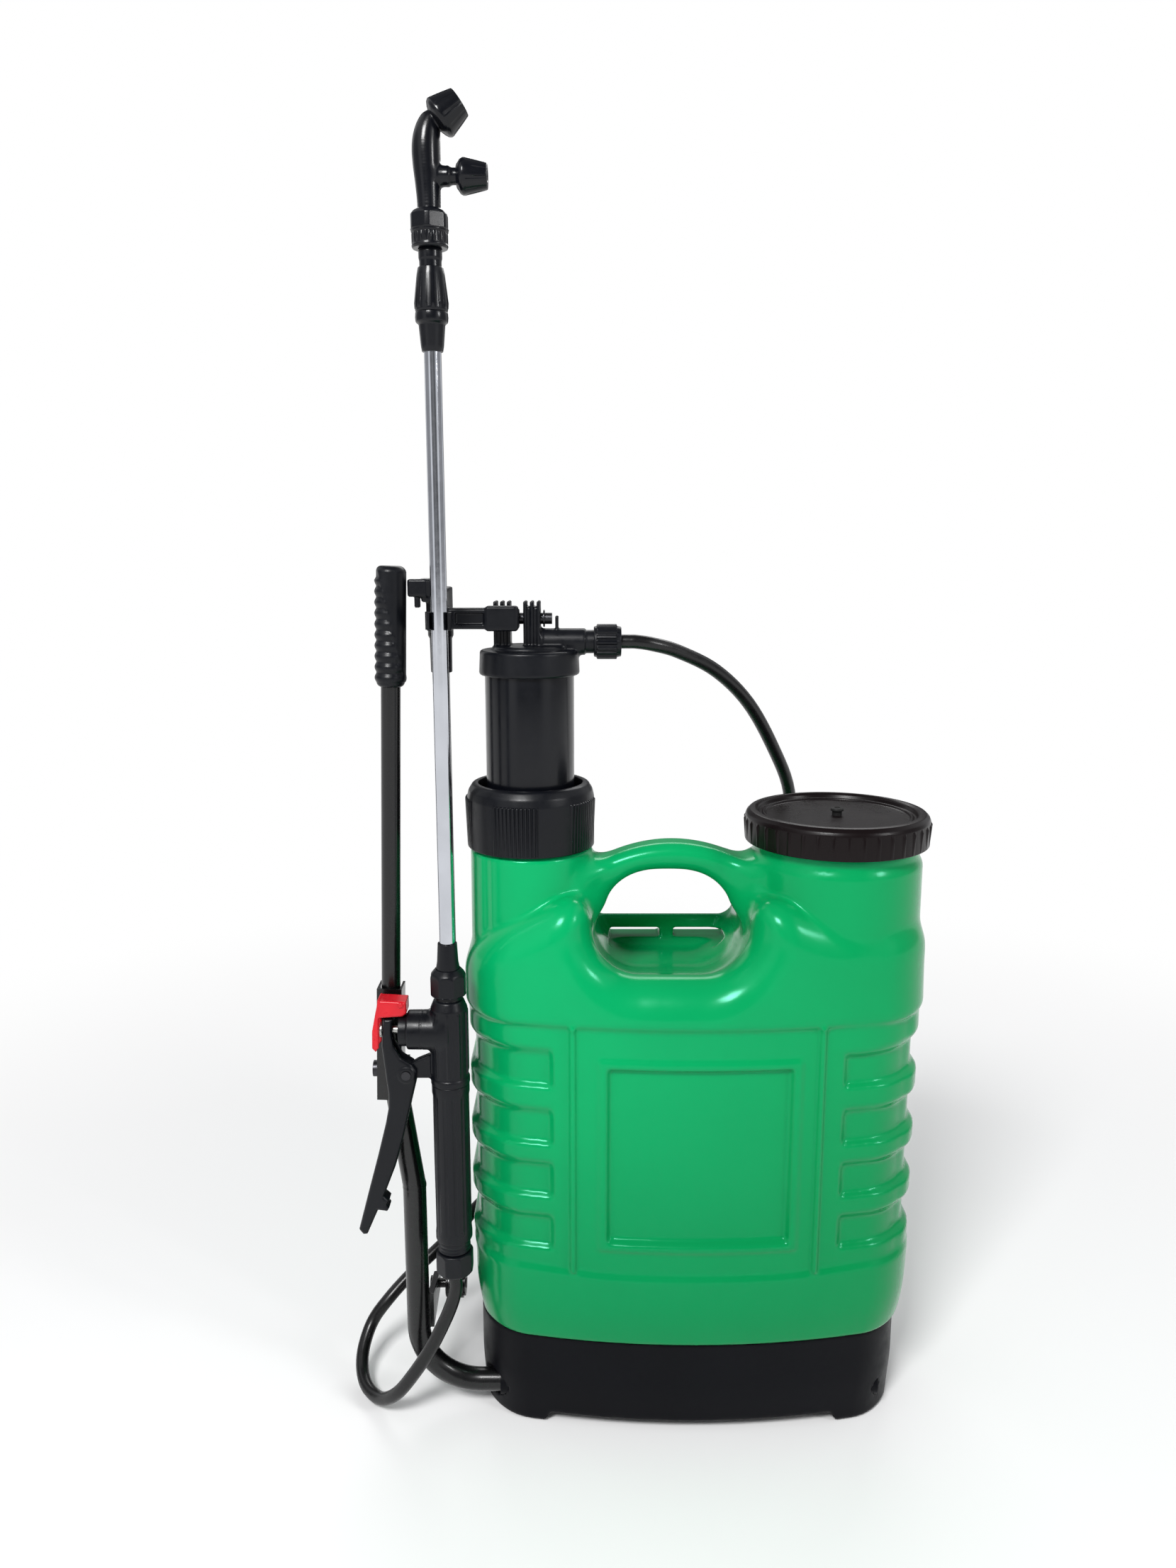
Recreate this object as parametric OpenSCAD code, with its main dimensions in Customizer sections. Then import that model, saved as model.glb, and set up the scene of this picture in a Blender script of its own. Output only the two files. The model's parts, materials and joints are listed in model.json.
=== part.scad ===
// Lever-operated knapsack sprayer, about 18 litres, standing on its base.
// Frame: X to the right, Y to the wearer's side, Z up. The origin is on the
// floor under the middle of the tank, on the face of the centre foot.

/* [Tank] */
// Width of the tank
tank_w = 368; // [362:1:370]
// Height of the joint between the tank and its base
seam_z = 83; // [81:1:85]
// Height where the straight sides end and the shoulders start
shoulder_z = 386; // [382:1:390]
// Wall thickness of the tank
wall = 3.5; // [2.5:0.5:4]
// Outer radius of the filler lid
lid_r = 74.5; // [73:0.5:76]

/* [Pump] */
// Left-right place of the pump
pump_x = -132; // [-133:0.5:-131]
// Front-back place of the pump, the filler and the carry handle
pump_y = -12; // [-13:0.5:-11]
// Outer radius of the air chamber
chamber_r = 35; // [34:0.5:36]
// Height of the pin that the pump arm rocks on
arm_z = 666; // [665:0.5:667]

/* [Lever] */
// Radius of the bent crank tube
crank_r = 9.5; // [9:0.25:10]
// Height of the crank tube's axis in the base
crank_z = 23.5; // [23:0.5:25]
// Front-back place of the crank tube's axis
crank_y = -50; // [-51:0.5:-49]
// Radius of the lever bar
bar_r = 7.4; // [7:0.1:7.5]
// Height of the bolt that the lever bar folds on
fold_z = 308; // [306:1:310]

/* [Lance] */
// Left-right place of the lance and the gun
lance_x = -194; // [-195:0.5:-193]
// Front-back place of the lance and the gun
lance_y = -75; // [-76:0.5:-74]
// Radius of the lance tube
lance_r = 6; // [5.5:0.25:6]
// Radius of the gun's handle
handle_r = 14.3; // [14:0.1:14.5]
// Diameter of the hose
hose_d = 11; // [10:0.5:11]

/* [Hidden] */
$fn = 64;
fine = 96;

// Tank outline: a bulged front, a flat back and round corners.
half_w = tank_w / 2;
front_y = -93;
rear_y = 92;
bulge_r = 680;
front_corner_r = 45;
rear_corner_r = 40;
base_inset = 7;
bulge_y = front_y + bulge_r;
front_corner_y = bulge_y - sqrt(pow(bulge_r - front_corner_r, 2) - pow(half_w - front_corner_r, 2));
bulge_a = atan2(front_corner_y - bulge_y, half_w - front_corner_r);

// Tank top.
trough_x0 = -86;
trough_x1 = 44;
trough_z = 367;
rear_bar_z = 402;
filler_x = 114.5;
filler_r = 69.5;
pump_neck_r = 50;
pump_neck_z = 484;
thread_r = 45.5;
slot_z = 379;
slot_h = 9;

// Pump.
nut_z = 485.5;
nut_top_z = 537;
barrel_r = 27;
piston_z = 196;
cap_z = 622.5;
cap_top_z = 642;
outlet_z = 648;
lug_w = 13;
lug_x1 = -159;
lug_x2 = -136;
arm_pin_r = 4.4;

// Lever and rod.
rod_x = -201;
rod_r = 6.2;
crank_pin_z = 89;
crank_pin_r = 4;
rod_eye_r = 8.2;
bend_r = 52;
crank_up_x = -229;
kink_z = 205;
kink_lean = 8;
bar_x = -244.8;
bar_lean = 1.8;
channel_half = 9.8;

// Gun.
pivot_x = -227.6;
pivot_z = 317;
valve_z = 352;
side_nozzle_z = 966;
top_nozzle = [-187, 1001];
top_nozzle_tilt = 54;

// The hose's route, from the pump's outlet over the back to the gun.
HOSE_ROUTE = [
    [-59.8, -12, 648], [-54, -12, 648], [-48, -11.7, 647.8], [-35, -8.9, 645.6], [-14, 1.5, 639],
    [18, 20, 622], [48, 43, 593], [74, 68, 551], [93, 90, 508], [97, 106, 458], [88, 113, 406],
    [68, 114, 351], [40, 114, 298], [6, 114, 250], [-34, 114, 208], [-78, 113, 174],
    [-122, 111, 147], [-160, 97, 127], [-188, 77, 112], [-206, 55, 100], [-226, 39, 87],
    [-247, 26, 72], [-266, 12, 56], [-280, 3, 38], [-285, -17, 21], [-279, -38, 10],
    [-263, -57, 10], [-246, -71, 26], [-230, -76, 49], [-215, -77, 74], [-203, -76, 99],
    [-196.5, -75, 116], [-194, -75, 128], [-194, -75, 135.5], [-194, -75, 142.8]];
hose_split = 12;
hose_steps = 2;

// ---- shared shapes ----

function arc(cx, cy, r, a0, a1, n) =
    [for (i = [0:n - 1]) let (a = a0 + (a1 - a0) * i / n) [cx + r * cos(a), cy + r * sin(a)]];

function outline(inset) = concat(
    arc(0, bulge_y, bulge_r - inset, -180 - bulge_a, bulge_a, 16),
    arc(half_w - front_corner_r, front_corner_y, front_corner_r - inset, bulge_a, 0, 8),
    arc(half_w - rear_corner_r, rear_y - rear_corner_r, rear_corner_r - inset, 0, 90, 8),
    arc(rear_corner_r - half_w, rear_y - rear_corner_r, rear_corner_r - inset, 90, 180, 8),
    arc(front_corner_r - half_w, front_corner_y, front_corner_r - inset, 180, 180 - bulge_a, 8));

module plan(inset) {
    polygon(outline(inset));
}

module slab(inset, z0, z1) {
    translate([0, 0, z0]) linear_extrude(z1 - z0) plan(inset);
}

module box(x0, x1, y0, y1, z0, z1) {
    translate([x0, y0, z0]) cube([x1 - x0, y1 - y0, z1 - z0]);
}

module post(x, y, r, z0, z1) {
    translate([x, y, z0]) cylinder(r = r, h = z1 - z0, $fn = fine);
}

module ring(x, y, r, bore, z0, z1) {
    difference() {
        post(x, y, r, z0, z1);
        post(x, y, bore, z0 - 1, z1 + 1);
    }
}

module rod_along_x(y, z, r, x0, x1) {
    translate([x0, y, z]) rotate([0, 90, 0]) cylinder(r = r, h = x1 - x0);
}

module rod_along_y(x, z, r, y0, y1) {
    translate([x, y1, z]) rotate([90, 0, 0]) cylinder(r = r, h = y1 - y0);
}

module at_lance(z = 0) {
    translate([lance_x, lance_y, z]) children();
}

module cone(r0, r1, h) {
    cylinder(r1 = r0, r2 = r1, h = h);
}

// A plate in the XZ plane, centred on the lance's Y.
module side_plate(points, thick) {
    translate([0, lance_y + thick / 2, 0]) rotate([90, 0, 0]) linear_extrude(thick) polygon(points);
}

module in_lever_frame() {
    translate([bar_x, crank_y, fold_z]) rotate([0, bar_lean, 0]) children();
}

// ---- swept hose ----

function unit(v) = v / norm(v);
function spline(p, i, t) = let (
    a = p[max(i - 1, 0)], b = p[i], c = p[i + 1], d = p[min(i + 2, len(p) - 1)])
    0.5 * ((2 * b) + (c - a) * t + (2 * a - 5 * b + 4 * c - d) * t * t
    + (3 * b - a - 3 * c + d) * t * t * t);
function smooth(p) = concat(
    [for (i = [0:len(p) - 2]) for (k = [0:hose_steps - 1]) spline(p, i, k / hose_steps)],
    [p[len(p) - 1]]);
function directions(p) =
    [for (i = [0:len(p) - 1]) unit(p[min(i + 1, len(p) - 1)] - p[max(i - 1, 0)])];
function across(n, t) = unit(n - (n * t) * t);
function normals(t) = [for (i = 0, n = across([0, 0, 1], t[0]); i < len(t);
    n = across(n, t[min(i + 1, len(t) - 1)]), i = i + 1) n];

module hose(first, last) {
    sides = 10;
    path = smooth(HOSE_ROUTE);
    way = directions(path);
    side = normals(way);
    rings = [for (i = [first:last]) for (k = [0:sides - 1])
        let (a = 360 * k / sides)
        path[i] + hose_d / 2 * (cos(a) * side[i] + sin(a) * cross(way[i], side[i]))];
    count = last - first;
    walls = [for (i = [0:count - 1]) for (k = [0:sides - 1]) let (j = (k + 1) % sides)
        [i * sides + k, (i + 1) * sides + k, (i + 1) * sides + j, i * sides + j]];
    start = [for (k = [0:sides - 1]) k];
    end = [for (k = [sides - 1:-1:0]) count * sides + k];
    color([0.06, 0.06, 0.06]) polyhedron(rings, concat(walls, [start], [end]));
}

module hose_upper() {
    hose(0, hose_split * hose_steps);
}

module hose_lower() {
    hose(hose_split * hose_steps, (len(HOSE_ROUTE) - 1) * hose_steps);
}

// ---- tank and base ----

module tower_foot(x0, x1, inset, z) {
    r = 34 - inset;
    for (x = [x0 + 34, x1 - 34]) for (y = [-44, 46]) post_low(x, y, r, z);
}

module post_low(x, y, r, z) {
    translate([x, y, z]) cylinder(r = r, h = 1, $fn = 32);
}

module left_tower(inset) {
    hull() {
        tower_foot(-176, trough_x0 - 2, inset, 392 - inset);
        post_low(pump_x, pump_y, pump_neck_r - inset, 446 - inset);
    }
}

module right_tower(inset) {
    hull() {
        tower_foot(trough_x1 + 2, 176, inset, 392 - inset);
        post_low(filler_x, pump_y, filler_r - inset, 452 - inset);
    }
}

module tank_outer() {
    hull() {
        slab(base_inset, seam_z, seam_z + 1);
        slab(0, seam_z + 30, seam_z + 31);
    }
    slab(0, seam_z + 30, shoulder_z);
    hull() {
        slab(0, shoulder_z - 1, shoulder_z);
        slab(14, 399, 400);
    }
    left_tower(0);
    right_tower(0);
    post(pump_x, pump_y, pump_neck_r, 440, pump_neck_z);
    post(pump_x, pump_y, thread_r, 470, 512);
    post(filler_x, pump_y, filler_r, 440, 478);
    post(filler_x, pump_y, filler_r - 4.5, 470, 502);
}

module tank_inner() {
    slab(base_inset + wall, seam_z + wall, seam_z + 26);
    slab(wall, seam_z + 25.9, trough_z - wall);
    intersection() {
        slab(wall, trough_z - 10, 392);
        union() {
            box(-200, trough_x0 - wall, -70, 76, trough_z - 10, 392);
            box(trough_x1 + wall, 200, -70, 76, trough_z - 10, 392);
        }
    }
    left_tower(wall);
    right_tower(wall);
    post(pump_x, pump_y, 41.2, 380, 530);
    post(filler_x, pump_y, 60, 380, 530);
}

// The carry handle: an arch between the two necks.
function arch_top(x) = 488.5 - pow((x + 18) / 15.4, 2);
function arch_hole(x) = 412 + 54 * sqrt(max(0, 1 - pow(abs((x + 21.5) / 56), 2.6)));

module carry_handle() {
    xs = [for (i = [0:20]) -94 + 7.3 * i];
    hole = [for (i = [0:20]) -77.5 + 5.6 * i];
    translate([0, pump_y + 17, 0]) rotate([90, 0, 0]) linear_extrude(34) difference() {
        polygon(concat([for (x = xs) [x, arch_top(x)]], [[52, 400], [-94, 400]]));
        polygon(concat([for (x = hole) [x, arch_hole(x)]], [[34.5, 390], [-77.5, 390]]));
    }
}

module tank_shell() {
    color([0.05, 0.72, 0.36]) difference() {
        union() {
            difference() {
                tank_outer();
                box(trough_x0, trough_x1, -66, 66, trough_z, 401);
            }
            box(trough_x0, trough_x1, 66, 76, trough_z, rear_bar_z);
            carry_handle();
        }
        tank_inner();
        box(-67, -22, 60, 95, slot_z, slot_z + slot_h);
        box(-10, 35, 60, 95, slot_z, slot_z + slot_h);
    }
}

module base_shell() {
    color([0.07, 0.07, 0.08]) difference() {
        union() {
            difference() {
                slab(base_inset, 0, seam_z - 0.3);
                slab(base_inset + 4, -1, seam_z - 4);
                box(-116, 116, -120, 120, -1, 10);
                box(-200, 200, -36, 44, -1, 10);
            }
            post(0, 0, 16, 0, seam_z - 2);
            for (s = [-1, 1]) intersection() {
                rod_along_x(crank_y, crank_z, 16, s * 158 - 12, s * 158 + 12);
                slab(base_inset, 0, seam_z);
            }
        }
        rod_along_x(crank_y, crank_z, 12, -190, -140);
        rod_along_x(crank_y, crank_z, 12, 140, 164);
        for (x = [-120, 120]) for (y = [-58, 66]) post(x, y, 2.2, 60, 90);
    }
}

module base_screws() {
    color("silver") for (x = [-120, 120]) for (y = [-58, 66]) {
        post(x, y, 2.2, seam_z - 9, seam_z - 0.3);
        post(x, y, 4.5, seam_z - 9, seam_z - 4);
    }
}

// ---- pump ----

module pump_barrel() {
    color([0.85, 0.85, 0.82]) difference() {
        union() {
            post(pump_x, pump_y, barrel_r + 3, 112, 350);
            post(pump_x, pump_y, 40.8, 340, 512);
            post(pump_x, pump_y, 45, 512.2, 515.5);
        }
        post(pump_x, pump_y, barrel_r, 124, 360);
        post(pump_x, pump_y, 37.8, 349, 520);
        post(pump_x, pump_y, 6, 110, 130);
    }
}

module barrel_seal() {
    color([0.1, 0.1, 0.1]) ring(pump_x, pump_y, 45, 41, 515.5, 518.5);
}

module foot_strainer() {
    color([0.8, 0.8, 0.78]) difference() {
        post(pump_x, pump_y, 22, 90, 112);
        post(pump_x, pump_y, 19, 93, 108);
        post(pump_x, pump_y, 5, 100, 114);
        for (a = [0:30:330]) translate([pump_x, pump_y, 100]) rotate([0, 0, a])
            translate([20, 0, 0]) cube([12, 4, 10], center = true);
    }
}

module foot_valve_ball() {
    color("silver") translate([pump_x, pump_y, 129.4]) sphere(r = 8, $fn = 48);
}

module pump_ring_nut() {
    grip_ribs = 11;
    color([0.08, 0.08, 0.09]) difference() {
        union() {
            post(pump_x, pump_y, 51, nut_z, nut_top_z - 9);
            translate([pump_x, pump_y, nut_top_z - 9]) cylinder(r1 = 51, r2 = 46, h = 9, $fn = fine);
            for (g = [0:5]) for (k = [0:grip_ribs - 1])
                translate([pump_x, pump_y, nut_z]) rotate([0, 0, 60 * g + 4 * k - 20])
                    translate([50.4, -0.9, 0]) cube([2, 1.8, nut_top_z - nut_z - 10]);
        }
        post(pump_x, pump_y, 46, nut_z - 1, 519);
        post(pump_x, pump_y, 41.5, 518, nut_top_z + 1);
    }
}

module air_chamber() {
    color([0.07, 0.07, 0.08]) difference() {
        post(pump_x, pump_y, chamber_r, 430, 634);
        post(pump_x, pump_y, chamber_r - 3.4, 434, 640);
        post(pump_x, pump_y, 9, 425, 440);
    }
}

module lug(x) {
    difference() {
        union() {
            box(x, x + lug_w, pump_y - 9, pump_y + 9, cap_top_z - 2, 675);
            for (k = [0:2]) box(x + 5.2 * k, x + 5.2 * k + 2.6, pump_y - 10, pump_y + 10,
                cap_top_z - 2, 679);
        }
        rod_along_x(pump_y, arm_z, arm_pin_r + 0.05, x - 1, x + lug_w + 1);
    }
}

module chamber_cap() {
    color([0.07, 0.07, 0.08]) difference() {
        union() {
            post(pump_x, pump_y, 39.5, cap_z, cap_top_z - 3);
            translate([pump_x, pump_y, cap_top_z - 3]) cylinder(r1 = 39.5, r2 = 36.5, h = 3, $fn = fine);
            lug(lug_x1);
            lug(lug_x2);
            rod_along_x(pump_y, outlet_z, 10.4, lug_x2 + lug_w - 1, -88);
            rod_along_x(pump_y, outlet_z, 9.2, -89, -66);
            box(-111.5, -109, pump_y - 5, pump_y + 5, outlet_z + 8, 668);
        }
        post(pump_x, pump_y, chamber_r + 0.05, cap_z - 1, 636);
        rod_along_x(pump_y, outlet_z, 4.5, -120, -60);
        post(-118, pump_y, 4.5, 630, outlet_z);
    }
}

module chamber_cap_seal() {
    color([0.1, 0.1, 0.1]) ring(pump_x, pump_y, chamber_r - 0.2, chamber_r - 3.2, 634, 636);
}

module plunger_tube() {
    color([0.82, 0.82, 0.8]) ring(pump_x, pump_y, 9, 6.5, piston_z + 12, 446);
}

module piston_body() {
    color([0.82, 0.82, 0.8]) difference() {
        union() {
            post(pump_x, pump_y, 25, piston_z - 4, piston_z);
            post(pump_x, pump_y, 16, piston_z - 1, piston_z + 8);
            post(pump_x, pump_y, 25, piston_z + 7, piston_z + 12);
        }
        post(pump_x, pump_y, 3, piston_z - 5, piston_z + 13);
        post(pump_x, pump_y, 6.5, piston_z + 2, piston_z + 13);
    }
}

module piston_cup() {
    color([0.12, 0.12, 0.12]) ring(pump_x, pump_y, barrel_r - 0.05, 16, piston_z, piston_z + 7);
}

module delivery_ball() {
    color("silver") translate([pump_x, pump_y, piston_z + 5.6]) sphere(r = 4.6, $fn = 48);
}

module outlet_nut() {
    color([0.07, 0.07, 0.08]) difference() {
        union() {
            rod_along_x(pump_y, outlet_z, 12.2, -81, -60);
            for (a = [0:20:340]) translate([-80, pump_y, outlet_z]) rotate([a, 0, 0])
                translate([0, -0.9, 11.5]) cube([19, 1.8, 1.6]);
        }
        rod_along_x(pump_y, outlet_z, 9.2, -90, -66);
    }
}

module pump_arm() {
    color([0.07, 0.07, 0.08]) difference() {
        union() {
            box(rod_x - 4, -139.5, pump_y - 24, pump_y - 13, 659, 675);
            box(rod_x - 8, rod_x + 8, pump_y - 24, pump_y, 657, 690);
            post(rod_x, pump_y, 8.6, 624, 659);
            post(rod_x, pump_y, 9.8, 652, 690);
            box(-145, -139.5, pump_y - 20, pump_y + 2, arm_z - 6.5, arm_z + 6.5);
            rod_along_x(pump_y, arm_z, 7.5, -145, -139.5);
            box(rod_x - 9.5, rod_x + 1, -50, pump_y - 6, 680, 697);
            box(-220.3, rod_x - 4, -52, -42, 684, 697);
            box(-215.5, -211.5, -50, -44, 676, 685);
        }
        post(rod_x, pump_y, rod_r, 600, 684);
        rod_along_x(pump_y, arm_z, arm_pin_r, -150, -136);
    }
}

module arm_pin() {
    color("silver") rod_along_x(pump_y, arm_z, arm_pin_r, -163, -114);
}

module arm_pin_clips() {
    color([0.25, 0.25, 0.27]) for (x = [-162.4, -120.8]) difference() {
        rod_along_x(pump_y, arm_z, 6.6, x, x + 1.2);
        rod_along_x(pump_y, arm_z, arm_pin_r, x - 1, x + 3);
    }
}

// ---- lever ----

module connecting_rod() {
    color([0.06, 0.06, 0.06]) difference() {
        union() {
            post(rod_x, pump_y, rod_r, crank_pin_z + 9, 684);
            rod_along_x(pump_y, crank_pin_z, 12.2, rod_x - rod_r - 0.4, rod_x + rod_r + 0.4);
        }
        rod_along_x(pump_y, crank_pin_z, rod_eye_r, rod_x - 20, rod_x + 20);
    }
}

// The bent tube: across the base, a quarter bend, up, and a lean out above the kink.
module crank_solid(r) {
    rod_along_x(crank_y, crank_z, r, crank_up_x + bend_r, 158);
    translate([crank_up_x + bend_r, crank_y, crank_z + bend_r]) rotate([90, 180, 0])
        rotate_extrude(angle = 90, $fn = fine) translate([bend_r, 0]) circle(r = r);
    post(crank_up_x, crank_y, r, crank_z + bend_r, kink_z - 1);
    translate([crank_up_x, crank_y, kink_z]) sphere(r = r + 0.35);
    above_kink() translate([0, 0, 1]) cylinder(r = r, h = 84);
}

module above_kink() {
    translate([crank_up_x, crank_y, kink_z]) rotate([0, -kink_lean, 0]) children();
}

module crank_tube() {
    color([0.05, 0.05, 0.05]) difference() {
        union() {
            crank_solid(crank_r);
            ear();
        }
        crank_solid(crank_r - 1.8);
        rod_along_x(pump_y, crank_pin_z, crank_pin_r, -240, -190);
    }
}

module ear() {
    translate([-221, 0, 0]) rotate([90, 0, 90]) linear_extrude(5) union() {
        translate([pump_y, crank_pin_z]) circle(r = 9.5);
        polygon([[crank_y, crank_pin_z - 16], [pump_y, crank_pin_z - 9.5],
            [pump_y, crank_pin_z + 9.5], [crank_y, crank_pin_z + 16]]);
    }
}

module crank_pin() {
    color("silver") union() {
        rod_along_x(pump_y, crank_pin_z, crank_pin_r, -221, -192);
        rod_along_x(pump_y, crank_pin_z, 6, -223.5, -221);
    }
}

module rod_washer() {
    color("silver") difference() {
        rod_along_x(pump_y, crank_pin_z, 11.5, -209.6, -208.2);
        rod_along_x(pump_y, crank_pin_z, crank_pin_r, -215, -200);
    }
}

module rod_clip() {
    color([0.25, 0.25, 0.27]) difference() {
        rod_along_x(pump_y, crank_pin_z, 10.5, -194.2, -192.6);
        rod_along_x(pump_y, crank_pin_z, crank_pin_r, -200, -190);
    }
}

module crank_bushes() {
    color([0.8, 0.8, 0.76]) for (x = [-160, 145]) difference() {
        rod_along_x(crank_y, crank_z, 12, x, x + 14);
        rod_along_x(crank_y, crank_z, crank_r + 0.08, x - 1, x + 20);
    }
}

module crank_collars() {
    color([0.3, 0.3, 0.32]) for (x = [-142, 134]) difference() {
        rod_along_x(crank_y, crank_z, 14, x, x + 7);
        rod_along_x(crank_y, crank_z, crank_r, x - 1, x + 9);
    }
}

module fold_channel() {
    half = channel_half;
    color([0.05, 0.05, 0.05]) difference() {
        in_lever_frame() difference() {
            translate([-half, -half, -23]) cube([2 * half, 2 * half, 94]);
            translate([-half + 1.8, -half + 1.8, -16]) cube([2 * half - 3.6, 2 * half, 100]);
        }
        rod_along_x(crank_y, fold_z, 3.15, bar_x - 20, bar_x + 20);
        above_kink() cylinder(r = crank_r, h = 85);
    }
}

module fold_bolt() {
    color("silver") union() {
        rod_along_x(crank_y, fold_z, 3.1, bar_x - 11, bar_x + 18);
        rod_along_x(crank_y, fold_z, 6.5, bar_x - 14, bar_x - 10.1);
    }
}

module wing_nut() {
    color("silver") difference() {
        union() {
            rod_along_x(crank_y, fold_z, 6, bar_x + 10.15, bar_x + 15);
            box(bar_x + 11.5, bar_x + 13.5, crank_y - 13, crank_y + 13, fold_z - 2.5, fold_z + 6);
        }
        rod_along_x(crank_y, fold_z, 3.15, bar_x, bar_x + 20);
    }
}

module lever_bar() {
    color([0.05, 0.05, 0.05]) difference() {
        in_lever_frame() union() {
            cylinder(r = bar_r, h = 391);
            sphere(r = bar_r);
        }
        in_lever_frame() translate([0, 0, 10]) cylinder(r = bar_r - 1.5, h = 400);
        rod_along_x(crank_y, fold_z, 3.15, bar_x - 20, bar_x + 20);
    }
}

module lever_grip() {
    color([0.06, 0.07, 0.09]) in_lever_frame() difference() {
        union() {
            translate([0, 0, 309]) cylinder(r = 10.8, h = 86);
            translate([0, 0, 395]) cylinder(r1 = 10.8, r2 = 9, h = 3);
            for (k = [0:9]) translate([0, 0, 316 + 8 * k]) rotate_extrude() translate([9.6, 0])
                circle(r = 2.2, $fn = 24);
        }
        translate([0, 0, 300]) cylinder(r = bar_r, h = 91);
    }
}

// ---- gun ----

module gun_hose_nut() {
    color([0.07, 0.07, 0.08]) at_lance() difference() {
        translate([0, 0, 143]) cylinder(r = 15.4, h = 20, $fn = 8);
        translate([0, 0, 150]) cylinder(r = 10, h = 20);
    }
}

module gun_handle() {
    color([0.07, 0.07, 0.08]) at_lance() difference() {
        union() {
            translate([0, 0, 174]) cylinder(r = handle_r, h = 134);
            translate([0, 0, 163]) cylinder(r = 13, h = 12);
            translate([0, 0, 150]) cylinder(r = 10, h = 14);
        }
        translate([0, 0, 140]) cylinder(r = 5, h = 180);
        for (a = [0:30:330]) rotate([0, 0, a]) translate([handle_r + 0.4, 0, 184])
            cylinder(r = 1.4, h = 112, $fn = 16);
    }
}

module gun_body() {
    color([0.07, 0.07, 0.08]) difference() {
        union() {
            at_lance(308) cylinder(r = 15.3, h = 6);
            at_lance(314) cylinder(r = 14.4, h = 57);
            at_lance(371) cone(14.4, 11.5, 6.5);
            at_lance(377) cylinder(r = 10, h = 16);
            rod_along_x(lance_y, valve_z, 15.8, -226.3, lance_x);
            side_plate([[-206, 332], [-219, 327.5], [-226, 323.6], [-231.5, 321], [-233, 317],
                [-230.5, 313.2], [-225, 312.6], [-206, 312.6]], 7);
        }
        at_lance(300) cylinder(r = 5, h = 100);
        rod_along_x(lance_y, valve_z, 9, -230, -198);
        rod_along_y(pivot_x, pivot_z, 2.5, lance_y - 20, lance_y + 20);
    }
}

module valve_cap() {
    color([0.07, 0.07, 0.08]) difference() {
        union() {
            rod_along_x(lance_y, valve_z, 9, -226.3, -221);
            rod_along_x(lance_y, valve_z, 12.8, -232.5, -226.3);
        }
        rod_along_x(lance_y, valve_z, 3.05, -240, -215);
    }
}

module valve_stem() {
    color("silver") union() {
        rod_along_x(lance_y, valve_z, 3, -246.5, -206);
        rod_along_x(lance_y, valve_z, 6, -247.7, -246);
        rod_along_x(lance_y, valve_z, 6.5, -206, -202);
    }
}

module valve_spring() {
    turns = 4;
    color("silver") for (k = [0:turns - 1]) translate([-219.5 + 1.35 * k, lance_y, valve_z])
        rotate([0, 90, 0]) rotate_extrude() translate([5.2, 0]) circle(r = 0.65, $fn = 16);
}

module trigger() {
    outer = [[-236.9, 363], [-237.8, 351], [-236.8, 341], [-231.3, 331], [-223, 325.5],
        [-219.1, 320], [-220, 312], [-224.4, 294], [-231, 266], [-239, 238], [-248.6, 213],
        [-244.5, 209], [-246.5, 200], [-253.9, 200.6], [-263, 179.6], [-266.5, 179.2],
        [-269.7, 183.7], [-252.3, 248], [-242.6, 289], [-243.2, 300], [-246.3, 340], [-244.5, 363]];
    inner = [[-230, 370], [-241.5, 370], [-242.3, 352], [-242.3, 340], [-239.5, 300], [-239, 285],
        [-246, 256], [-230, 240], [-210, 290], [-210, 330], [-225, 345]];
    color([0.07, 0.07, 0.08]) difference() {
        side_plate(outer, 15);
        side_plate(inner, 9);
        box(-260, -236, lance_y - 4.2, lance_y + 4.2, valve_z - 4.2, valve_z + 8.8);
        rod_along_y(pivot_x, pivot_z, 2.55, lance_y - 20, lance_y + 20);
    }
}

module trigger_pin() {
    color("silver") union() {
        rod_along_y(pivot_x, pivot_z, 2.5, lance_y - 9, lance_y + 9);
        for (s = [-1, 1]) rod_along_y(pivot_x, pivot_z, 3.6, lance_y + s * 8.5 - 0.7,
            lance_y + s * 8.5 + 0.7);
    }
}

module trigger_lock() {
    color([0.85, 0.07, 0.13]) difference() {
        union() {
            side_plate([[-248, 378.8], [-226, 377.6], [-226, 368], [-229, 365.5], [-248, 364.2]], 17);
            side_plate([[-248, 378.8], [-248, 340], [-250.6, 336.3], [-253.4, 339.4], [-253, 353],
                [-249.5, 369]], 17);
            rod_along_y(-230, 375, 2, lance_y - 9.5, lance_y + 9.5);
        }
        side_plate([[-247, 364], [-247, 330], [-257, 330], [-257, 364]], 12.6);
    }
}

module lance_nut() {
    color([0.07, 0.07, 0.08]) at_lance() difference() {
        union() {
            translate([0, 0, 381]) cylinder(r = 14.1, h = 17.5, $fn = 8);
            translate([0, 0, 398.5]) cone(13, 9.6, 4);
        }
        translate([0, 0, 380]) cylinder(r = 10, h = 14);
        translate([0, 0, 390]) cylinder(r = 9, h = 14);
    }
}

module lance_sleeve() {
    color([0.07, 0.07, 0.08]) at_lance() difference() {
        union() {
            translate([0, 0, 394]) cylinder(r = 9, h = 8);
            translate([0, 0, 402]) cone(9, 7.4, 21);
        }
        translate([0, 0, 390]) cylinder(r = lance_r, h = 40);
    }
}

module lance_tube() {
    color([0.8, 0.8, 0.82]) at_lance() difference() {
        translate([0, 0, 395]) cylinder(r = lance_r, h = 475);
        translate([0, 0, 390]) cylinder(r = lance_r - 1, h = 500);
    }
}

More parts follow.
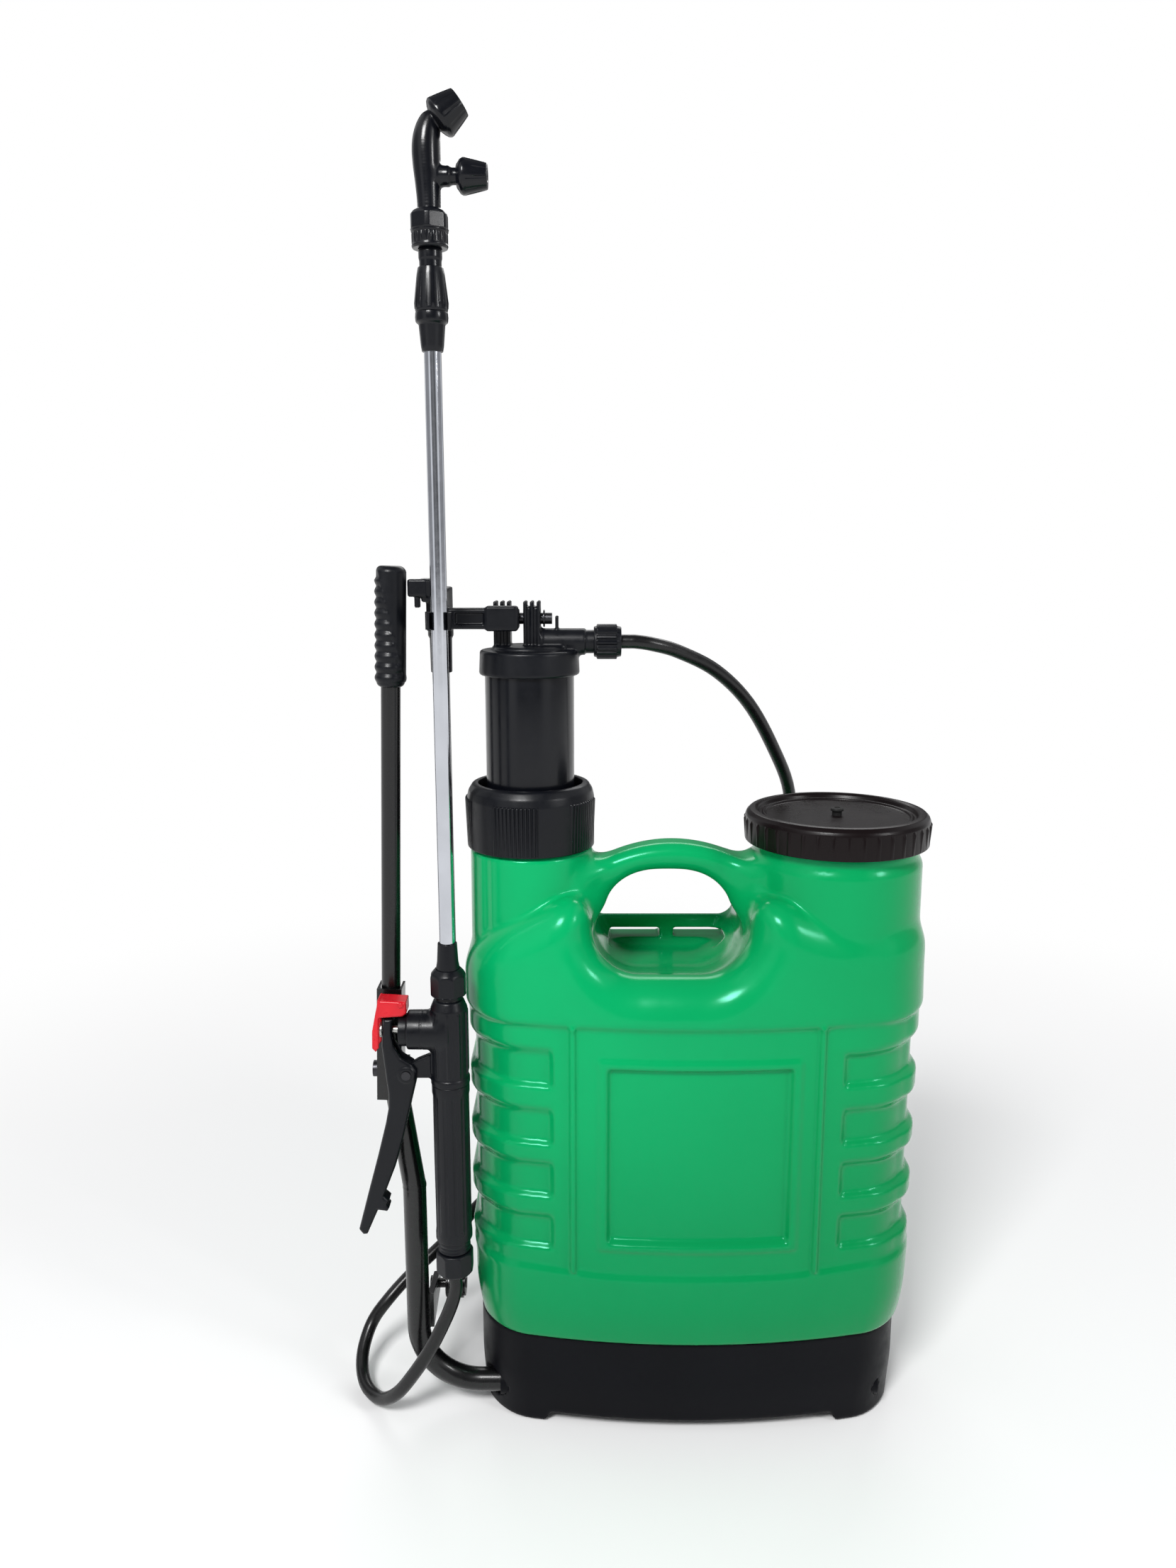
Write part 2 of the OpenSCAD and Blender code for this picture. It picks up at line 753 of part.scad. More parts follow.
module tip_sleeve() {
    color([0.07, 0.07, 0.08]) at_lance() difference() {
        union() {
            translate([0, 0, 853]) cone(7.2, 9.2, 19);
            translate([0, 0, 872]) cylinder(r = 11.4, h = 7);
        }
        translate([0, 0, 850]) cylinder(r = lance_r, h = 40);
    }
}

module tip_nut() {
    color([0.07, 0.07, 0.08]) at_lance() difference() {
        union() {
            translate([0, 0, 879]) cone(11.2, 9.6, 24);
            translate([0, 0, 903]) cone(9.6, 8.6, 5);
            for (a = [0:20:340]) rotate([0, 0, a]) translate([9.6, -0.6, 881]) cube([1.6, 1.2, 20]);
        }
        translate([0, 0, 870]) cylinder(r = 7.6, h = 60);
    }
}

module tip_neck() {
    color([0.07, 0.07, 0.08]) at_lance() difference() {
        translate([0, 0, 879]) cylinder(r = 7.6, h = 56);
        translate([0, 0, 869]) cylinder(r = 3, h = 80);
    }
}

module tip_union() {
    color([0.07, 0.07, 0.08]) at_lance() difference() {
        union() {
            translate([0, 0, 920]) cylinder(r = 12.4, h = 12);
            translate([0, 0, 932]) cylinder(r = 13.2, h = 9, $fn = 6);
            translate([0, 0, 941]) cone(11.4, 9, 4);
            for (a = [0:15:345]) rotate([0, 0, a]) translate([12, -0.6, 923]) cube([0.9, 1.2, 7]);
        }
        translate([0, 0, 910]) cylinder(r = 7.6, h = 25);
        translate([0, 0, 934]) cylinder(r = 8.2, h = 20);
    }
}

module tilted_top() {
    translate([top_nozzle[0], lance_y, top_nozzle[1]]) rotate([0, top_nozzle_tilt, 0]) children();
}

module nozzle_body() {
    color([0.07, 0.07, 0.1]) difference() {
        union() {
            at_lance(935.3) cylinder(r = 7.8, h = 20);
            at_lance(955.3) cone(7.8, 9, 14);
            at_lance(969.3) cone(9, 8.8, 14);
            at_lance(983.3) cone(8.8, 7, 13);
            at_lance(996.3) sphere(r = 7.4);
            tilted_top() translate([0, 0, -6]) cylinder(r = 5.5, h = 13);
            rod_along_x(lance_y, side_nozzle_z, 5.5, lance_x, lance_x + 26);
        }
        at_lance(930) cylinder(r = 3, h = 65);
        rod_along_x(lance_y, side_nozzle_z, 2.4, lance_x, lance_x + 40);
        tilted_top() translate([0, 0, -9]) cylinder(r = 2.4, h = 30);
    }
}

module nozzle_inserts() {
    color([0.75, 0.6, 0.3]) union() {
        tilted_top() difference() {
            translate([0, 0, 7]) cylinder(r = 4.8, h = 6);
            translate([0, 0, 6]) cylinder(r = 1, h = 9);
        }
        difference() {
            rod_along_x(lance_y, side_nozzle_z, 4.8, lance_x + 26, lance_x + 31);
            rod_along_x(lance_y, side_nozzle_z, 1, lance_x + 20, lance_x + 40);
        }
    }
}

module spray_cap() {
    difference() {
        union() {
            translate([0, 0, 0]) cone(7.2, 12.6, 4);
            translate([0, 0, 4]) cone(12.6, 12.2, 3);
            translate([0, 0, 7]) cone(12.2, 8.8, 14);
        }
        translate([0, 0, -1]) cylinder(r = 5.55, h = 9);
        translate([0, 0, 7.5]) cylinder(r = 5.2, h = 8);
        cylinder(r = 1.6, h = 40);
    }
}

module nozzle_cap_top() {
    color([0.07, 0.07, 0.08]) tilted_top() spray_cap();
}

module nozzle_cap_side() {
    color([0.07, 0.07, 0.08]) translate([lance_x + 19, lance_y, side_nozzle_z]) rotate([0, 90, 0])
        spray_cap();
}

// The open fork that holds the lance beside the pump arm's post.
module lance_clip() {
    color([0.07, 0.07, 0.08]) difference() {
        union() {
            at_lance(661) cylinder(r = lance_r + 3.2, h = 13);
            box(rod_x - 4, rod_x + 6, lance_y + 5, pump_y - 24, 661, 674);
        }
        at_lance(650) cylinder(r = lance_r + 0.7, h = 40);
        box(lance_x - 6.7, lance_x + 6.7, lance_y - 12, lance_y, 650, 690);
    }
}

// ---- lid and filter ----

module filler_lid() {
    ribs = 40;
    color([0.05, 0.05, 0.06]) translate([filler_x, pump_y, 0]) difference() {
        union() {
            translate([0, 0, 489]) cylinder(r = lid_r - 1.2, h = 20, $fn = fine);
            translate([0, 0, 509]) cylinder(r1 = lid_r - 1.2, r2 = lid_r - 5, h = 5, $fn = fine);
            for (k = [0:ribs - 1]) rotate([0, 0, 360 * k / ribs])
                translate([lid_r - 1.8, -0.9, 490]) cube([1.8, 1.8, 17]);
            translate([0, 0, 512]) cylinder(r = 9, h = 5);
        }
        translate([0, 0, 488]) cylinder(r = filler_r - 4.1, h = 18.6, $fn = fine);
        translate([0, 0, 508]) difference() {
            cylinder(r = 62, h = 10, $fn = fine);
            translate([0, 0, -1]) cylinder(r = 56, h = 12, $fn = fine);
        }
        translate([0, 0, 500]) cylinder(r = 4, h = 20);
    }
}

module lid_gasket() {
    color([0.12, 0.12, 0.12]) ring(filler_x, pump_y, filler_r - 4.6, 58, 503.8, 506.5);
}

module lid_vent() {
    color([0.12, 0.12, 0.12]) union() {
        post(filler_x, pump_y, 3.9, 503, 514.5);
        post(filler_x, pump_y, 7, 503.6, 506.5);
    }
}

module filter_basket() {
    color([0.75, 0.75, 0.72]) difference() {
        union() {
            post(filler_x, pump_y, 59.4, 440, 503.5);
            post(filler_x, pump_y, 63, 502.1, 503.6);
        }
        post(filler_x, pump_y, 57.6, 443, 510);
        for (a = [0:15:345]) for (z = [450, 466, 482]) translate([filler_x, pump_y, z])
            rotate([0, 0, a]) translate([58, 0, 4]) cube([8, 8, 8], center = true);
    }
}

tank_shell();
base_shell();
base_screws();
pump_barrel();
barrel_seal();
foot_strainer();
foot_valve_ball();
pump_ring_nut();
air_chamber();
chamber_cap();
chamber_cap_seal();
plunger_tube();
piston_body();
piston_cup();
delivery_ball();
outlet_nut();
pump_arm();
arm_pin();
arm_pin_clips();
connecting_rod();
crank_tube();
crank_bushes();
crank_collars();
crank_pin();
rod_washer();
rod_clip();
fold_channel();
fold_bolt();
wing_nut();
lever_bar();
lever_grip();
gun_hose_nut();
gun_handle();
gun_body();
valve_cap();
valve_stem();
valve_spring();
trigger();
trigger_pin();
trigger_lock();
lance_nut();
lance_sleeve();
lance_tube();
tip_sleeve();
tip_nut();
tip_neck();
tip_union();
nozzle_body();
nozzle_inserts();
nozzle_cap_top();
nozzle_cap_side();
lance_clip();
filler_lid();
lid_gasket();
lid_vent();
filter_basket();
hose_upper();
hose_lower();
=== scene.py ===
"""Looks of a lever-operated knapsack sprayer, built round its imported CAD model.

The forms below are written in millimetres, in the frame of the CAD model, and
become metres when their meshes are made.
"""
import json
import math

import bmesh
import bpy
import numpy as np
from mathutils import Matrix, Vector


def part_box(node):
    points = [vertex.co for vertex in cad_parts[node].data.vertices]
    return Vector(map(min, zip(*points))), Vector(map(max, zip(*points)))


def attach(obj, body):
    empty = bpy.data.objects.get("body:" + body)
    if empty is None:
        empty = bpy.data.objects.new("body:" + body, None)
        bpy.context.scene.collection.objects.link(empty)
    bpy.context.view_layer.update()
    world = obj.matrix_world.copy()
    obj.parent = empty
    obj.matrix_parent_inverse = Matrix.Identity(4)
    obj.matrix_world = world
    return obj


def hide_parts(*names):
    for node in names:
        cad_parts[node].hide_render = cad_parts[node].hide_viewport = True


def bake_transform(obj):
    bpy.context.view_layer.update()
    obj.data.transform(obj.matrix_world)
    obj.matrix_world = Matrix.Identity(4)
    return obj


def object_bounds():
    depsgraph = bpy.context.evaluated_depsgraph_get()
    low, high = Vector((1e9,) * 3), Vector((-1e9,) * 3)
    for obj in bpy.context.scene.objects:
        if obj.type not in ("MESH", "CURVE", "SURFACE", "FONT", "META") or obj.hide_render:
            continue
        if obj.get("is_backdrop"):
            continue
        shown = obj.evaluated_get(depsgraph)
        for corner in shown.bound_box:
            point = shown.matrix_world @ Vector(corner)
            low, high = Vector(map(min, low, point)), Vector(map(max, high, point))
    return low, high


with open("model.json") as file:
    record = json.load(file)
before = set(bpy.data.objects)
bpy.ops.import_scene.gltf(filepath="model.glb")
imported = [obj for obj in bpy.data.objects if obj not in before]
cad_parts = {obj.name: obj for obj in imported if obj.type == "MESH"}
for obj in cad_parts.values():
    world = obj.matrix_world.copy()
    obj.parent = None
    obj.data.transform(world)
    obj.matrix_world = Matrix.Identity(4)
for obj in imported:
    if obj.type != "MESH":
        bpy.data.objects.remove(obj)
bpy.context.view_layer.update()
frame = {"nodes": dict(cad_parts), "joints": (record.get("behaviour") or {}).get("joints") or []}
MM = 0.001


def middle(node):
    low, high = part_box(node)
    return [(a + b) / 2 / MM for a, b in zip(low, high)]


def pivot(name):
    return [v / MM for v in next(j["pos_m"] for j in frame["joints"] if j["name"] == name)]


PUMP_X, PUMP_Y, _ = middle("air_chamber")
LANCE_X, LANCE_Y, _ = middle("lance_tube")
LID_X, LID_Y, _ = middle("filler_lid")
ROD_X = middle("connecting_rod")[0]
ARM_Z = pivot("arm_rock")[2]
BAR_X, CRANK_Y, FOLD_Z = pivot("lever_fold")
TRIGGER_X, _, TRIGGER_Z = pivot("trigger_squeeze")
VALVE_Z = middle("valve_cap")[2]
SIDE_Z = pivot("side_cap_turn")[2]
TOP_CAP = pivot("top_cap_turn")
OUTLET_Z = middle("outlet_nut")[2]
LEAN = math.radians(1.8)


# ---- camera ----

def make_camera():
    data = bpy.data.cameras.new("camera")
    data.lens = 26.85
    data.sensor_width = 36
    camera = bpy.data.objects.new("camera", data)
    camera.location = (-0.086, -0.931, 0.718)
    camera.rotation_euler = (math.radians(78.7), 0, 0)
    bpy.context.scene.collection.objects.link(camera)
    bpy.context.scene.camera = camera


make_camera()


# ---- mesh tools ----

def add_piece(name, body, nodes, verts, faces, material, sharp=38):
    """A mesh from points in millimetres, riding on a body and standing for CAD nodes."""
    mesh = bpy.data.meshes.new(name)
    mesh.from_pydata((np.asarray(verts, float) * MM).tolist(), [], np.asarray(faces).tolist()
                     if isinstance(faces, np.ndarray) else faces)
    shaper = bmesh.new()
    shaper.from_mesh(mesh)
    bmesh.ops.remove_doubles(shaper, verts=shaper.verts, dist=2e-6)
    bmesh.ops.recalc_face_normals(shaper, faces=shaper.faces)
    shaper.to_mesh(mesh)
    shaper.free()
    mesh.polygons.foreach_set("use_smooth", [True] * len(mesh.polygons))
    mesh.set_sharp_from_angle(angle=math.radians(sharp))
    mesh.materials.append(material)
    piece = bpy.data.objects.new(name, mesh)
    bpy.context.scene.collection.objects.link(piece)
    if isinstance(body, str):
        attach(piece, body)
    if nodes:
        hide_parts(*nodes.split())
    return piece


def spline(points, steps):
    """A smooth line through the points, as part.scad draws the hose."""
    p = np.array(points, float)
    line = []
    for i in range(len(p) - 1):
        a, b, c, d = p[max(i - 1, 0)], p[i], p[i + 1], p[min(i + 2, len(p) - 1)]
        for k in range(steps):
            t = k / steps
            line.append(0.5 * (2 * b + (c - a) * t + (2 * a - 5 * b + 4 * c - d) * t * t
                               + (3 * b - a - 3 * c + d) * t ** 3))
    line.append(p[-1])
    return np.array(line)


def tube_mesh(line, radii, sides=24):
    """Rings along a line, with closed ends."""
    way = np.gradient(line, axis=0)
    way /= np.linalg.norm(way, axis=1)[:, None]
    side = np.cross(way[0], [0.3, 0.5, 0.8])
    angle = np.linspace(0, 2 * math.pi, sides, endpoint=False)
    verts = []
    for point, t, r in zip(line, way, radii):
        side = side - (side @ t) * t
        side /= np.linalg.norm(side)
        up = np.cross(t, side)
        verts += list(point + r * (np.outer(np.cos(angle), side) + np.outer(np.sin(angle), up)))
    faces = []
    for i in range(len(line) - 1):
        for k in range(sides):
            j = (k + 1) % sides
            faces.append([i * sides + k, i * sides + j, (i + 1) * sides + j, (i + 1) * sides + k])
    faces.append(list(range(sides - 1, -1, -1)))
    faces.append([(len(line) - 1) * sides + k for k in range(sides)])
    return verts, faces


def filleted(profile, radius, steps=4):
    """The closed profile with its corners rounded."""
    p = np.array(profile, float)
    out = []
    for i in range(len(p)):
        before, here, after = p[i - 1], p[i], p[(i + 1) % len(p)]
        if here[0] < 1e-6:
            out.append(here)
            continue
        a, b = before - here, after - here
        la, lb = np.linalg.norm(a), np.linalg.norm(b)
        turn = math.degrees(math.acos(np.clip(a @ b / la / lb, -1, 1)))
        reach = min(radius, 0.45 * la, 0.45 * lb)
        if turn > 168:
            out.append(here)
            continue
        start, end = here + a / la * reach, here + b / lb * reach
        for k in range(steps + 1):
            t = k / steps
            out.append((1 - t) ** 2 * start + 2 * t * (1 - t) * here + t * t * end)
    return np.array(out)


def turned(name, body, nodes, material, profile, x, y, edge=0.8, turns=96, wave=None,
           place=None, start=0.0):
    """A turned solid about a vertical axis at (x, y), from a closed (radius, height) profile.

    wave(angle, radius, height) gives new radii; place moves points to another axis.
    """
    ring = filleted(profile, edge)
    angle = start + np.linspace(0, 2 * math.pi, turns, endpoint=False)
    a, r = np.meshgrid(angle, ring[:, 0], indexing="ij")
    z = np.broadcast_to(ring[:, 1], r.shape)
    if wave:
        r = wave(a, r, z)
    points = np.stack([r * np.cos(a), r * np.sin(a), z], axis=-1).reshape(-1, 3)
    points = place(points) if place else points + [x, y, 0]
    n = len(ring)
    i, k = np.meshgrid(np.arange(turns), np.arange(n), indexing="ij")
    i2, k2 = (i + 1) % turns, (k + 1) % n
    quads = np.stack([i * n + k, i2 * n + k, i2 * n + k2, i * n + k2], axis=-1).reshape(-1, 4)
    return add_piece(name, body, nodes, points, quads, material)


def tip_over(centre, tilt):
    """Places points made about a vertical axis so that the axis leans towards +X."""
    c, s = math.cos(tilt), math.sin(tilt)

    def place(p):
        return np.stack([p[:, 0] * c + p[:, 2] * s, p[:, 1], -p[:, 0] * s + p[:, 2] * c], axis=1) + centre
    return place


def ribs(count, height, width, low, high, beyond, groups=None):
    """A wave of upright ribs between two heights on faces beyond a radius."""
    def wave(a, r, z):
        share = (a / (2 * math.pi) * count) % 1
        near = np.abs(share - 0.5) * (2 * math.pi / count)
        bump = np.clip((width / 2 / beyond - near) / (0.35 * width / beyond) + 0.5, 0, 1)
        if groups is not None:
            bump = bump * groups(a)
        fade = np.clip((z - low) / 1.2, 0, 1) * np.clip((high - z) / 1.2, 0, 1)
        return r + height * bump * fade * (r > beyond - 0.01)
    return wave


def facets(count, low, high, inner, soften=1.0):
    """A wave that turns the round stretch between two heights into a prism."""
    def wave(a, r, z):
        step = 2 * math.pi / count
        local = (a + step / 2) % step - step / 2
        flat = inner / np.cos(local)
        on = (z > low) & (z < high) & (r > inner - 0.5)
        return np.where(on, np.minimum(r, flat * soften + r * (1 - soften)), r)
    return wave


# ---- forms as distance fields ----

def round_max(a, b, r):
    return np.hypot(np.maximum(a + r, 0), np.maximum(b + r, 0)) + np.minimum(np.maximum(a, b), -r)


def round_min(a, b, r):
    return -round_max(-a, -b, r)


def soft_min(a, b, k):
    h = np.clip(0.5 + 0.5 * (b - a) / k, 0, 1)
    return b * (1 - h) + a * h - k * h * (1 - h)


def soft_max(a, b, k):
    return -soft_min(-a, -b, k)


def ease(t):
    t = np.clip(t, 0, 1)
    return t * t * (3 - 2 * t)


def block(p, low, high, edge=1.0):
    q = [np.abs(v - (a + b) / 2) - (b - a) / 2 + edge for v, a, b in zip(p, low, high)]
    outside = np.sqrt(sum(np.maximum(v, 0) ** 2 for v in q))
    return outside + np.minimum(np.maximum(np.maximum(q[0], q[1]), q[2]), 0) - edge


def rod(p, a, b, r0, r1=None, edge=1.0):
    """A round bar or cone from a to b."""
    r1 = r0 if r1 is None else r1
    a, b = np.array(a, float), np.array(b, float)
    length = np.linalg.norm(b - a)
    way = (b - a) / length
    d = [v - w for v, w in zip(p, a)]
    t = sum(v * w for v, w in zip(d, way))
    q = np.sqrt(np.maximum(sum(v * v for v in d) - t * t, 0))
    slope = math.cos(math.atan2(r0 - r1, length))
    wall = (q - (r0 + (r1 - r0) * t / length)) * slope
    return round_max(wall, np.abs(t - length / 2) - length / 2, edge)


def ball(p, c, r):
    return np.sqrt(sum((v - w) ** 2 for v, w in zip(p, c))) - r


def outline(u, v, points):
    """Signed distance to a polygon."""
    pts = np.array(points, float)
    best = np.full(u.shape, 1e9)
    inside = np.zeros(u.shape, bool)
    for a, b in zip(pts, np.roll(pts, -1, axis=0)):
        e = b - a
        wu, wv = u - a[0], v - a[1]
        t = np.clip((wu * e[0] + wv * e[1]) / (e @ e), 0, 1)
        best = np.minimum(best, (wu - t * e[0]) ** 2 + (wv - t * e[1]) ** 2)
        if abs(e[1]) > 1e-12:
            crosses = ((a[1] > v) != (b[1] > v)) & (u < a[0] + (v - a[1]) * e[0] / e[1])
            inside ^= crosses
    return np.where(inside, -1, 1) * np.sqrt(best)


def plate(p, points, y, thick, edge=1.5, soft=0.0):
    """A plate with an outline in XZ, centred on y."""
    x, py, z = p
    return round_max(outline(x, z, points) - soft, np.abs(py - y) - thick / 2, edge)


def net(form, low, high, step):
    """A quad mesh of a form's surface."""
    low, high = np.array(low, float), np.array(high, float)
    axes = [np.arange(a, b + step, step) for a, b in zip(low, high)]
    grid = np.meshgrid(*axes, indexing="ij", sparse=False)
    f = form(grid)
    n = f.shape
    cells = [n[0] - 1, n[1] - 1, n[2] - 1]
    total = cells[0] * cells[1] * cells[2]
    sums, count, quads = np.zeros((3, total)), np.zeros(total), []
    for axis in range(3):
        first, second = [slice(None)] * 3, [slice(None)] * 3
        first[axis], second[axis] = slice(0, -1), slice(1, None)
        f0, f1 = f[tuple(first)], f[tuple(second)]
        index = np.argwhere((f0 < 0) != (f1 < 0))
        u, w = (axis + 1) % 3, (axis + 2) % 3
        keep = (index[:, u] > 0) & (index[:, w] > 0) & (index[:, u] < n[u] - 1) & (index[:, w] < n[w] - 1)
        index = index[keep]
        v0, v1 = f0[tuple(index.T)], f1[tuple(index.T)]
        point = index.astype(float)
        point[:, axis] += v0 / (v0 - v1)
        corner = []
        for du, dw in ((0, 0), (1, 0), (1, 1), (0, 1)):
            cell = index.copy()
            cell[:, u] -= du
            cell[:, w] -= dw
            flat = (cell[:, 0] * cells[1] + cell[:, 1]) * cells[2] + cell[:, 2]
            corner.append(flat)
            count += np.bincount(flat, minlength=total)
            for k in range(3):
                sums[k] += np.bincount(flat, weights=point[:, k], minlength=total)
        quad = np.stack(corner, axis=1)
        quad[v0 > 0] = quad[v0 > 0][:, ::-1]
        quads.append(quad)
    used = np.flatnonzero(count)
    renumber = np.zeros(total, int)
    renumber[used] = np.arange(len(used))
    points = (sums[:, used] / count[used]).T * step + low
    for _ in range(2):
        points = nearer(form, points, step)
    return points, renumber[np.concatenate(quads)]


def nearer(form, points, step):
    """The points moved onto the form's surface, by at most half a step."""
    h = 0.1 * step
    x, y, z = points.T
    here = form([x, y, z])
    slope = np.stack([form([x + h, y, z]) - form([x - h, y, z]),
                      form([x, y + h, z]) - form([x, y - h, z]),
                      form([x, y, z + h]) - form([x, y, z - h])], axis=1) / (2 * h)
    size = np.maximum((slope ** 2).sum(axis=1), 0.2)
    move = -(here / size)[:, None] * slope
    length = np.linalg.norm(move, axis=1)
    return points + move * np.minimum(1, 0.5 * step / np.maximum(length, 1e-9))[:, None]


def moulded(name, body, nodes, material, form, low, high, step, sharp=50):
    """A moulded piece whose surface is a form's zero level."""
    points, quads = net(form, low, high, step)
    return add_piece(name, body, nodes, points, quads, material, sharp)


# ---- materials ----

def material(name, color, rough, metal=0.0, coat=0.0, coat_rough=0.1, specular=0.5, tint=(1, 1, 1), bump=0.1,
              bump_size=600.0, rough_spread=0.08, mottling=4.0, darker=0.75, extra=None):
    """A plastic, paint or metal with mottled colour, uneven gloss and a fine surface."""
    made = bpy.data.materials.new(name)
    made.use_nodes = True
    nodes, links = made.node_tree.nodes, made.node_tree.links
    shader = nodes["Principled BSDF"]
    shader.inputs["Metallic"].default_value = metal
    shader.inputs["Specular IOR Level"].default_value = specular
    shader.inputs["Specular Tint"].default_value = (*tint, 1)
    shader.inputs["Coat Weight"].default_value = coat
    shader.inputs["Coat Roughness"].default_value = coat_rough
    place = nodes.new("ShaderNodeTexCoord")
    broad = nodes.new("ShaderNodeTexNoise")
    broad.inputs["Scale"].default_value = mottling
    broad.inputs["Detail"].default_value = 5
    links.new(place.outputs["Object"], broad.inputs["Vector"])
    tint = nodes.new("ShaderNodeValToRGB")
    tint.color_ramp.elements[0].position, tint.color_ramp.elements[1].position = 0.3, 0.7
    tint.color_ramp.elements[0].color = (*[c * darker for c in color], 1)
    tint.color_ramp.elements[1].color = (*color, 1)
    links.new(broad.outputs["Fac"], tint.inputs["Fac"])
    top = tint.outputs["Color"]
    if extra:
        top = extra(nodes, links, place, top)
    links.new(top, shader.inputs["Base Color"])
    scuff = nodes.new("ShaderNodeTexNoise")
    scuff.inputs["Scale"].default_value = mottling * 4
    scuff.inputs["Detail"].default_value = 4
    scuff.inputs["Roughness"].default_value = 0.7
    links.new(place.outputs["Object"], scuff.inputs["Vector"])
    spread = nodes.new("ShaderNodeMapRange")
    spread.inputs["From Min"].default_value, spread.inputs["From Max"].default_value = 0.3, 0.7
    spread.inputs["To Min"].default_value = max(rough - rough_spread, 0.02)
    spread.inputs["To Max"].default_value = rough + rough_spread
    links.new(scuff.outputs["Fac"], spread.inputs["Value"])
    links.new(spread.outputs["Result"], shader.inputs["Roughness"])
    grain = nodes.new("ShaderNodeTexNoise")
    grain.inputs["Scale"].default_value = bump_size
    grain.inputs["Detail"].default_value = 3
    links.new(place.outputs["Object"], grain.inputs["Vector"])
    raised = nodes.new("ShaderNodeBump")
    raised.inputs["Strength"].default_value = bump
    raised.inputs["Distance"].default_value = 0.0004
    links.new(grain.outputs["Fac"], raised.inputs["Height"])
    links.new(raised.outputs["Normal"], shader.inputs["Normal"])
    return made


def blend_by(nodes, links, factor, under, color, strength):
    mix = nodes.new("ShaderNodeMix")
    mix.data_type = "RGBA"
    scale = nodes.new("ShaderNodeMath")
    scale.operation = "MULTIPLY"
    scale.inputs[1].default_value = strength
    links.new(factor, scale.inputs[0])
    links.new(scale.outputs[0], mix.inputs["Factor"])
    links.new(under, mix.inputs["A"])
    mix.inputs["B"].default_value = (*color, 1)
    return mix.outputs["Result"]


def height_ramp(nodes, links, place, low, high, axis="Z"):
    split = nodes.new("ShaderNodeSeparateXYZ")
    links.new(place.outputs["Object"], split.inputs["Vector"])
    ramp = nodes.new("ShaderNodeMapRange")
    ramp.inputs["From Min"].default_value, ramp.inputs["From Max"].default_value = low, high
    links.new(split.outputs[axis], ramp.inputs["Value"])
    return ramp.outputs["Result"]


def tank_painted_shade(nodes, links, place, top):
    """Painted shade: paler towards the shoulders, darker towards the foot and the right, where less light falls."""
    # painted shade: a darker green blended in towards the foot
    top = blend_by(nodes, links, height_ramp(nodes, links, place, 0.34, 0.10), top, (0.001, 0.19, 0.05), 0.72)
    # painted shade: a darker green blended in towards the right side
    return blend_by(nodes, links, height_ramp(nodes, links, place, -0.10, 0.22, "X"), top,
                    (0.002, 0.2, 0.045), 0.6)


# the tank green's colour carries painted shade from tank_painted_shade
green = material("tank_green", (0.0015, 0.36, 0.112), 0.2, specular=0.34, tint=(0.35, 1, 0.85),
                 bump=0.03, bump_size=180, rough_spread=0.05, mottling=7, darker=0.88, extra=tank_painted_shade)
base_black = material("base_black", (0.003, 0.0032, 0.005), 0.42, specular=0.1, bump=0.05,
                      mottling=14)
black = material("black_plastic", (0.0038, 0.0045, 0.0068), 0.34, specular=0.25, bump=0.04,
                 bump_size=900, mottling=30)
gloss = material("gloss_black", (0.0032, 0.0038, 0.006), 0.22, specular=0.3, coat=0.06,
                 coat_rough=0.1, bump=0.02, bump_size=700, rough_spread=0.05, mottling=20)
# lid_black: black plastic whose red-brown tint is a painted reflection
lid_black = material("lid_black", (0.0055, 0.003, 0.0034), 0.3, specular=0.17, bump=0.003,
                     bump_size=500, rough_spread=0.05, mottling=12)
paint = material("black_paint", (0.0035, 0.0035, 0.004), 0.27, specular=0.4, coat=0.2,
                 coat_rough=0.12, bump=0.02, bump_size=300, rough_spread=0.05, mottling=15)
steel = material("dark_steel", (0.055, 0.055, 0.06), 0.36, metal=1, bump=0.05, mottling=60)
zinc = material("zinc_steel", (0.5, 0.5, 0.48), 0.34, metal=1, bump=0.05, mottling=60)
chrome = material("lance_chrome", (0.62, 0.64, 0.69), 0.13, metal=1, bump=0.01, rough_spread=0.04,
                  mottling=40, darker=0.88)
red = material("lock_red", (0.60, 0.008, 0.018), 0.32, specular=0.35, bump=0.03, mottling=40,
               darker=0.8)
natural = material("natural_plastic", (0.72, 0.70, 0.62), 0.4, bump=0.05, mottling=30, darker=0.92)
seal = material("seal_rubber", (0.008, 0.008, 0.008), 0.6, specular=0.3, bump=0.1, mottling=40)
brass = material("insert_brass", (0.72, 0.5, 0.19), 0.28, metal=1, mottling=60)
hose_skin = material("hose_rubber", (0.0045, 0.0045, 0.005), 0.3, specular=0.4, bump=0.04,
                     bump_size=420, mottling=25)


# ---- hose ----

HOSE_ROUTE = [
    (-59.8, -12, 648), (-54, -12, 648), (-48, -11.7, 647.8), (-35, -8.9, 645.6), (-14, 1.5, 639),
    (18, 20, 622), (48, 43, 593), (74, 68, 551), (93, 90, 508), (97, 106, 458), (88, 113, 406),
    (68, 114, 351), (40, 114, 298), (6, 114, 250), (-34, 114, 208), (-78, 113, 174),
    (-122, 111, 147), (-160, 97, 127), (-188, 77, 112), (-206, 55, 100), (-226, 39, 87),
    (-247, 26, 72), (-266, 12, 56), (-280, 3, 38), (-285, -17, 21), (-279, -38, 10),
    (-263, -57, 10), (-246, -71, 26), (-230, -76, 49), (-215, -77, 74), (-203, -76, 99),
    (-196.5, -75, 116), (-194, -75, 128), (-194, -75, 135.5), (-194, -75, 142.8)]
HOSE_SPLIT = 12
HOSE_R = 5.5


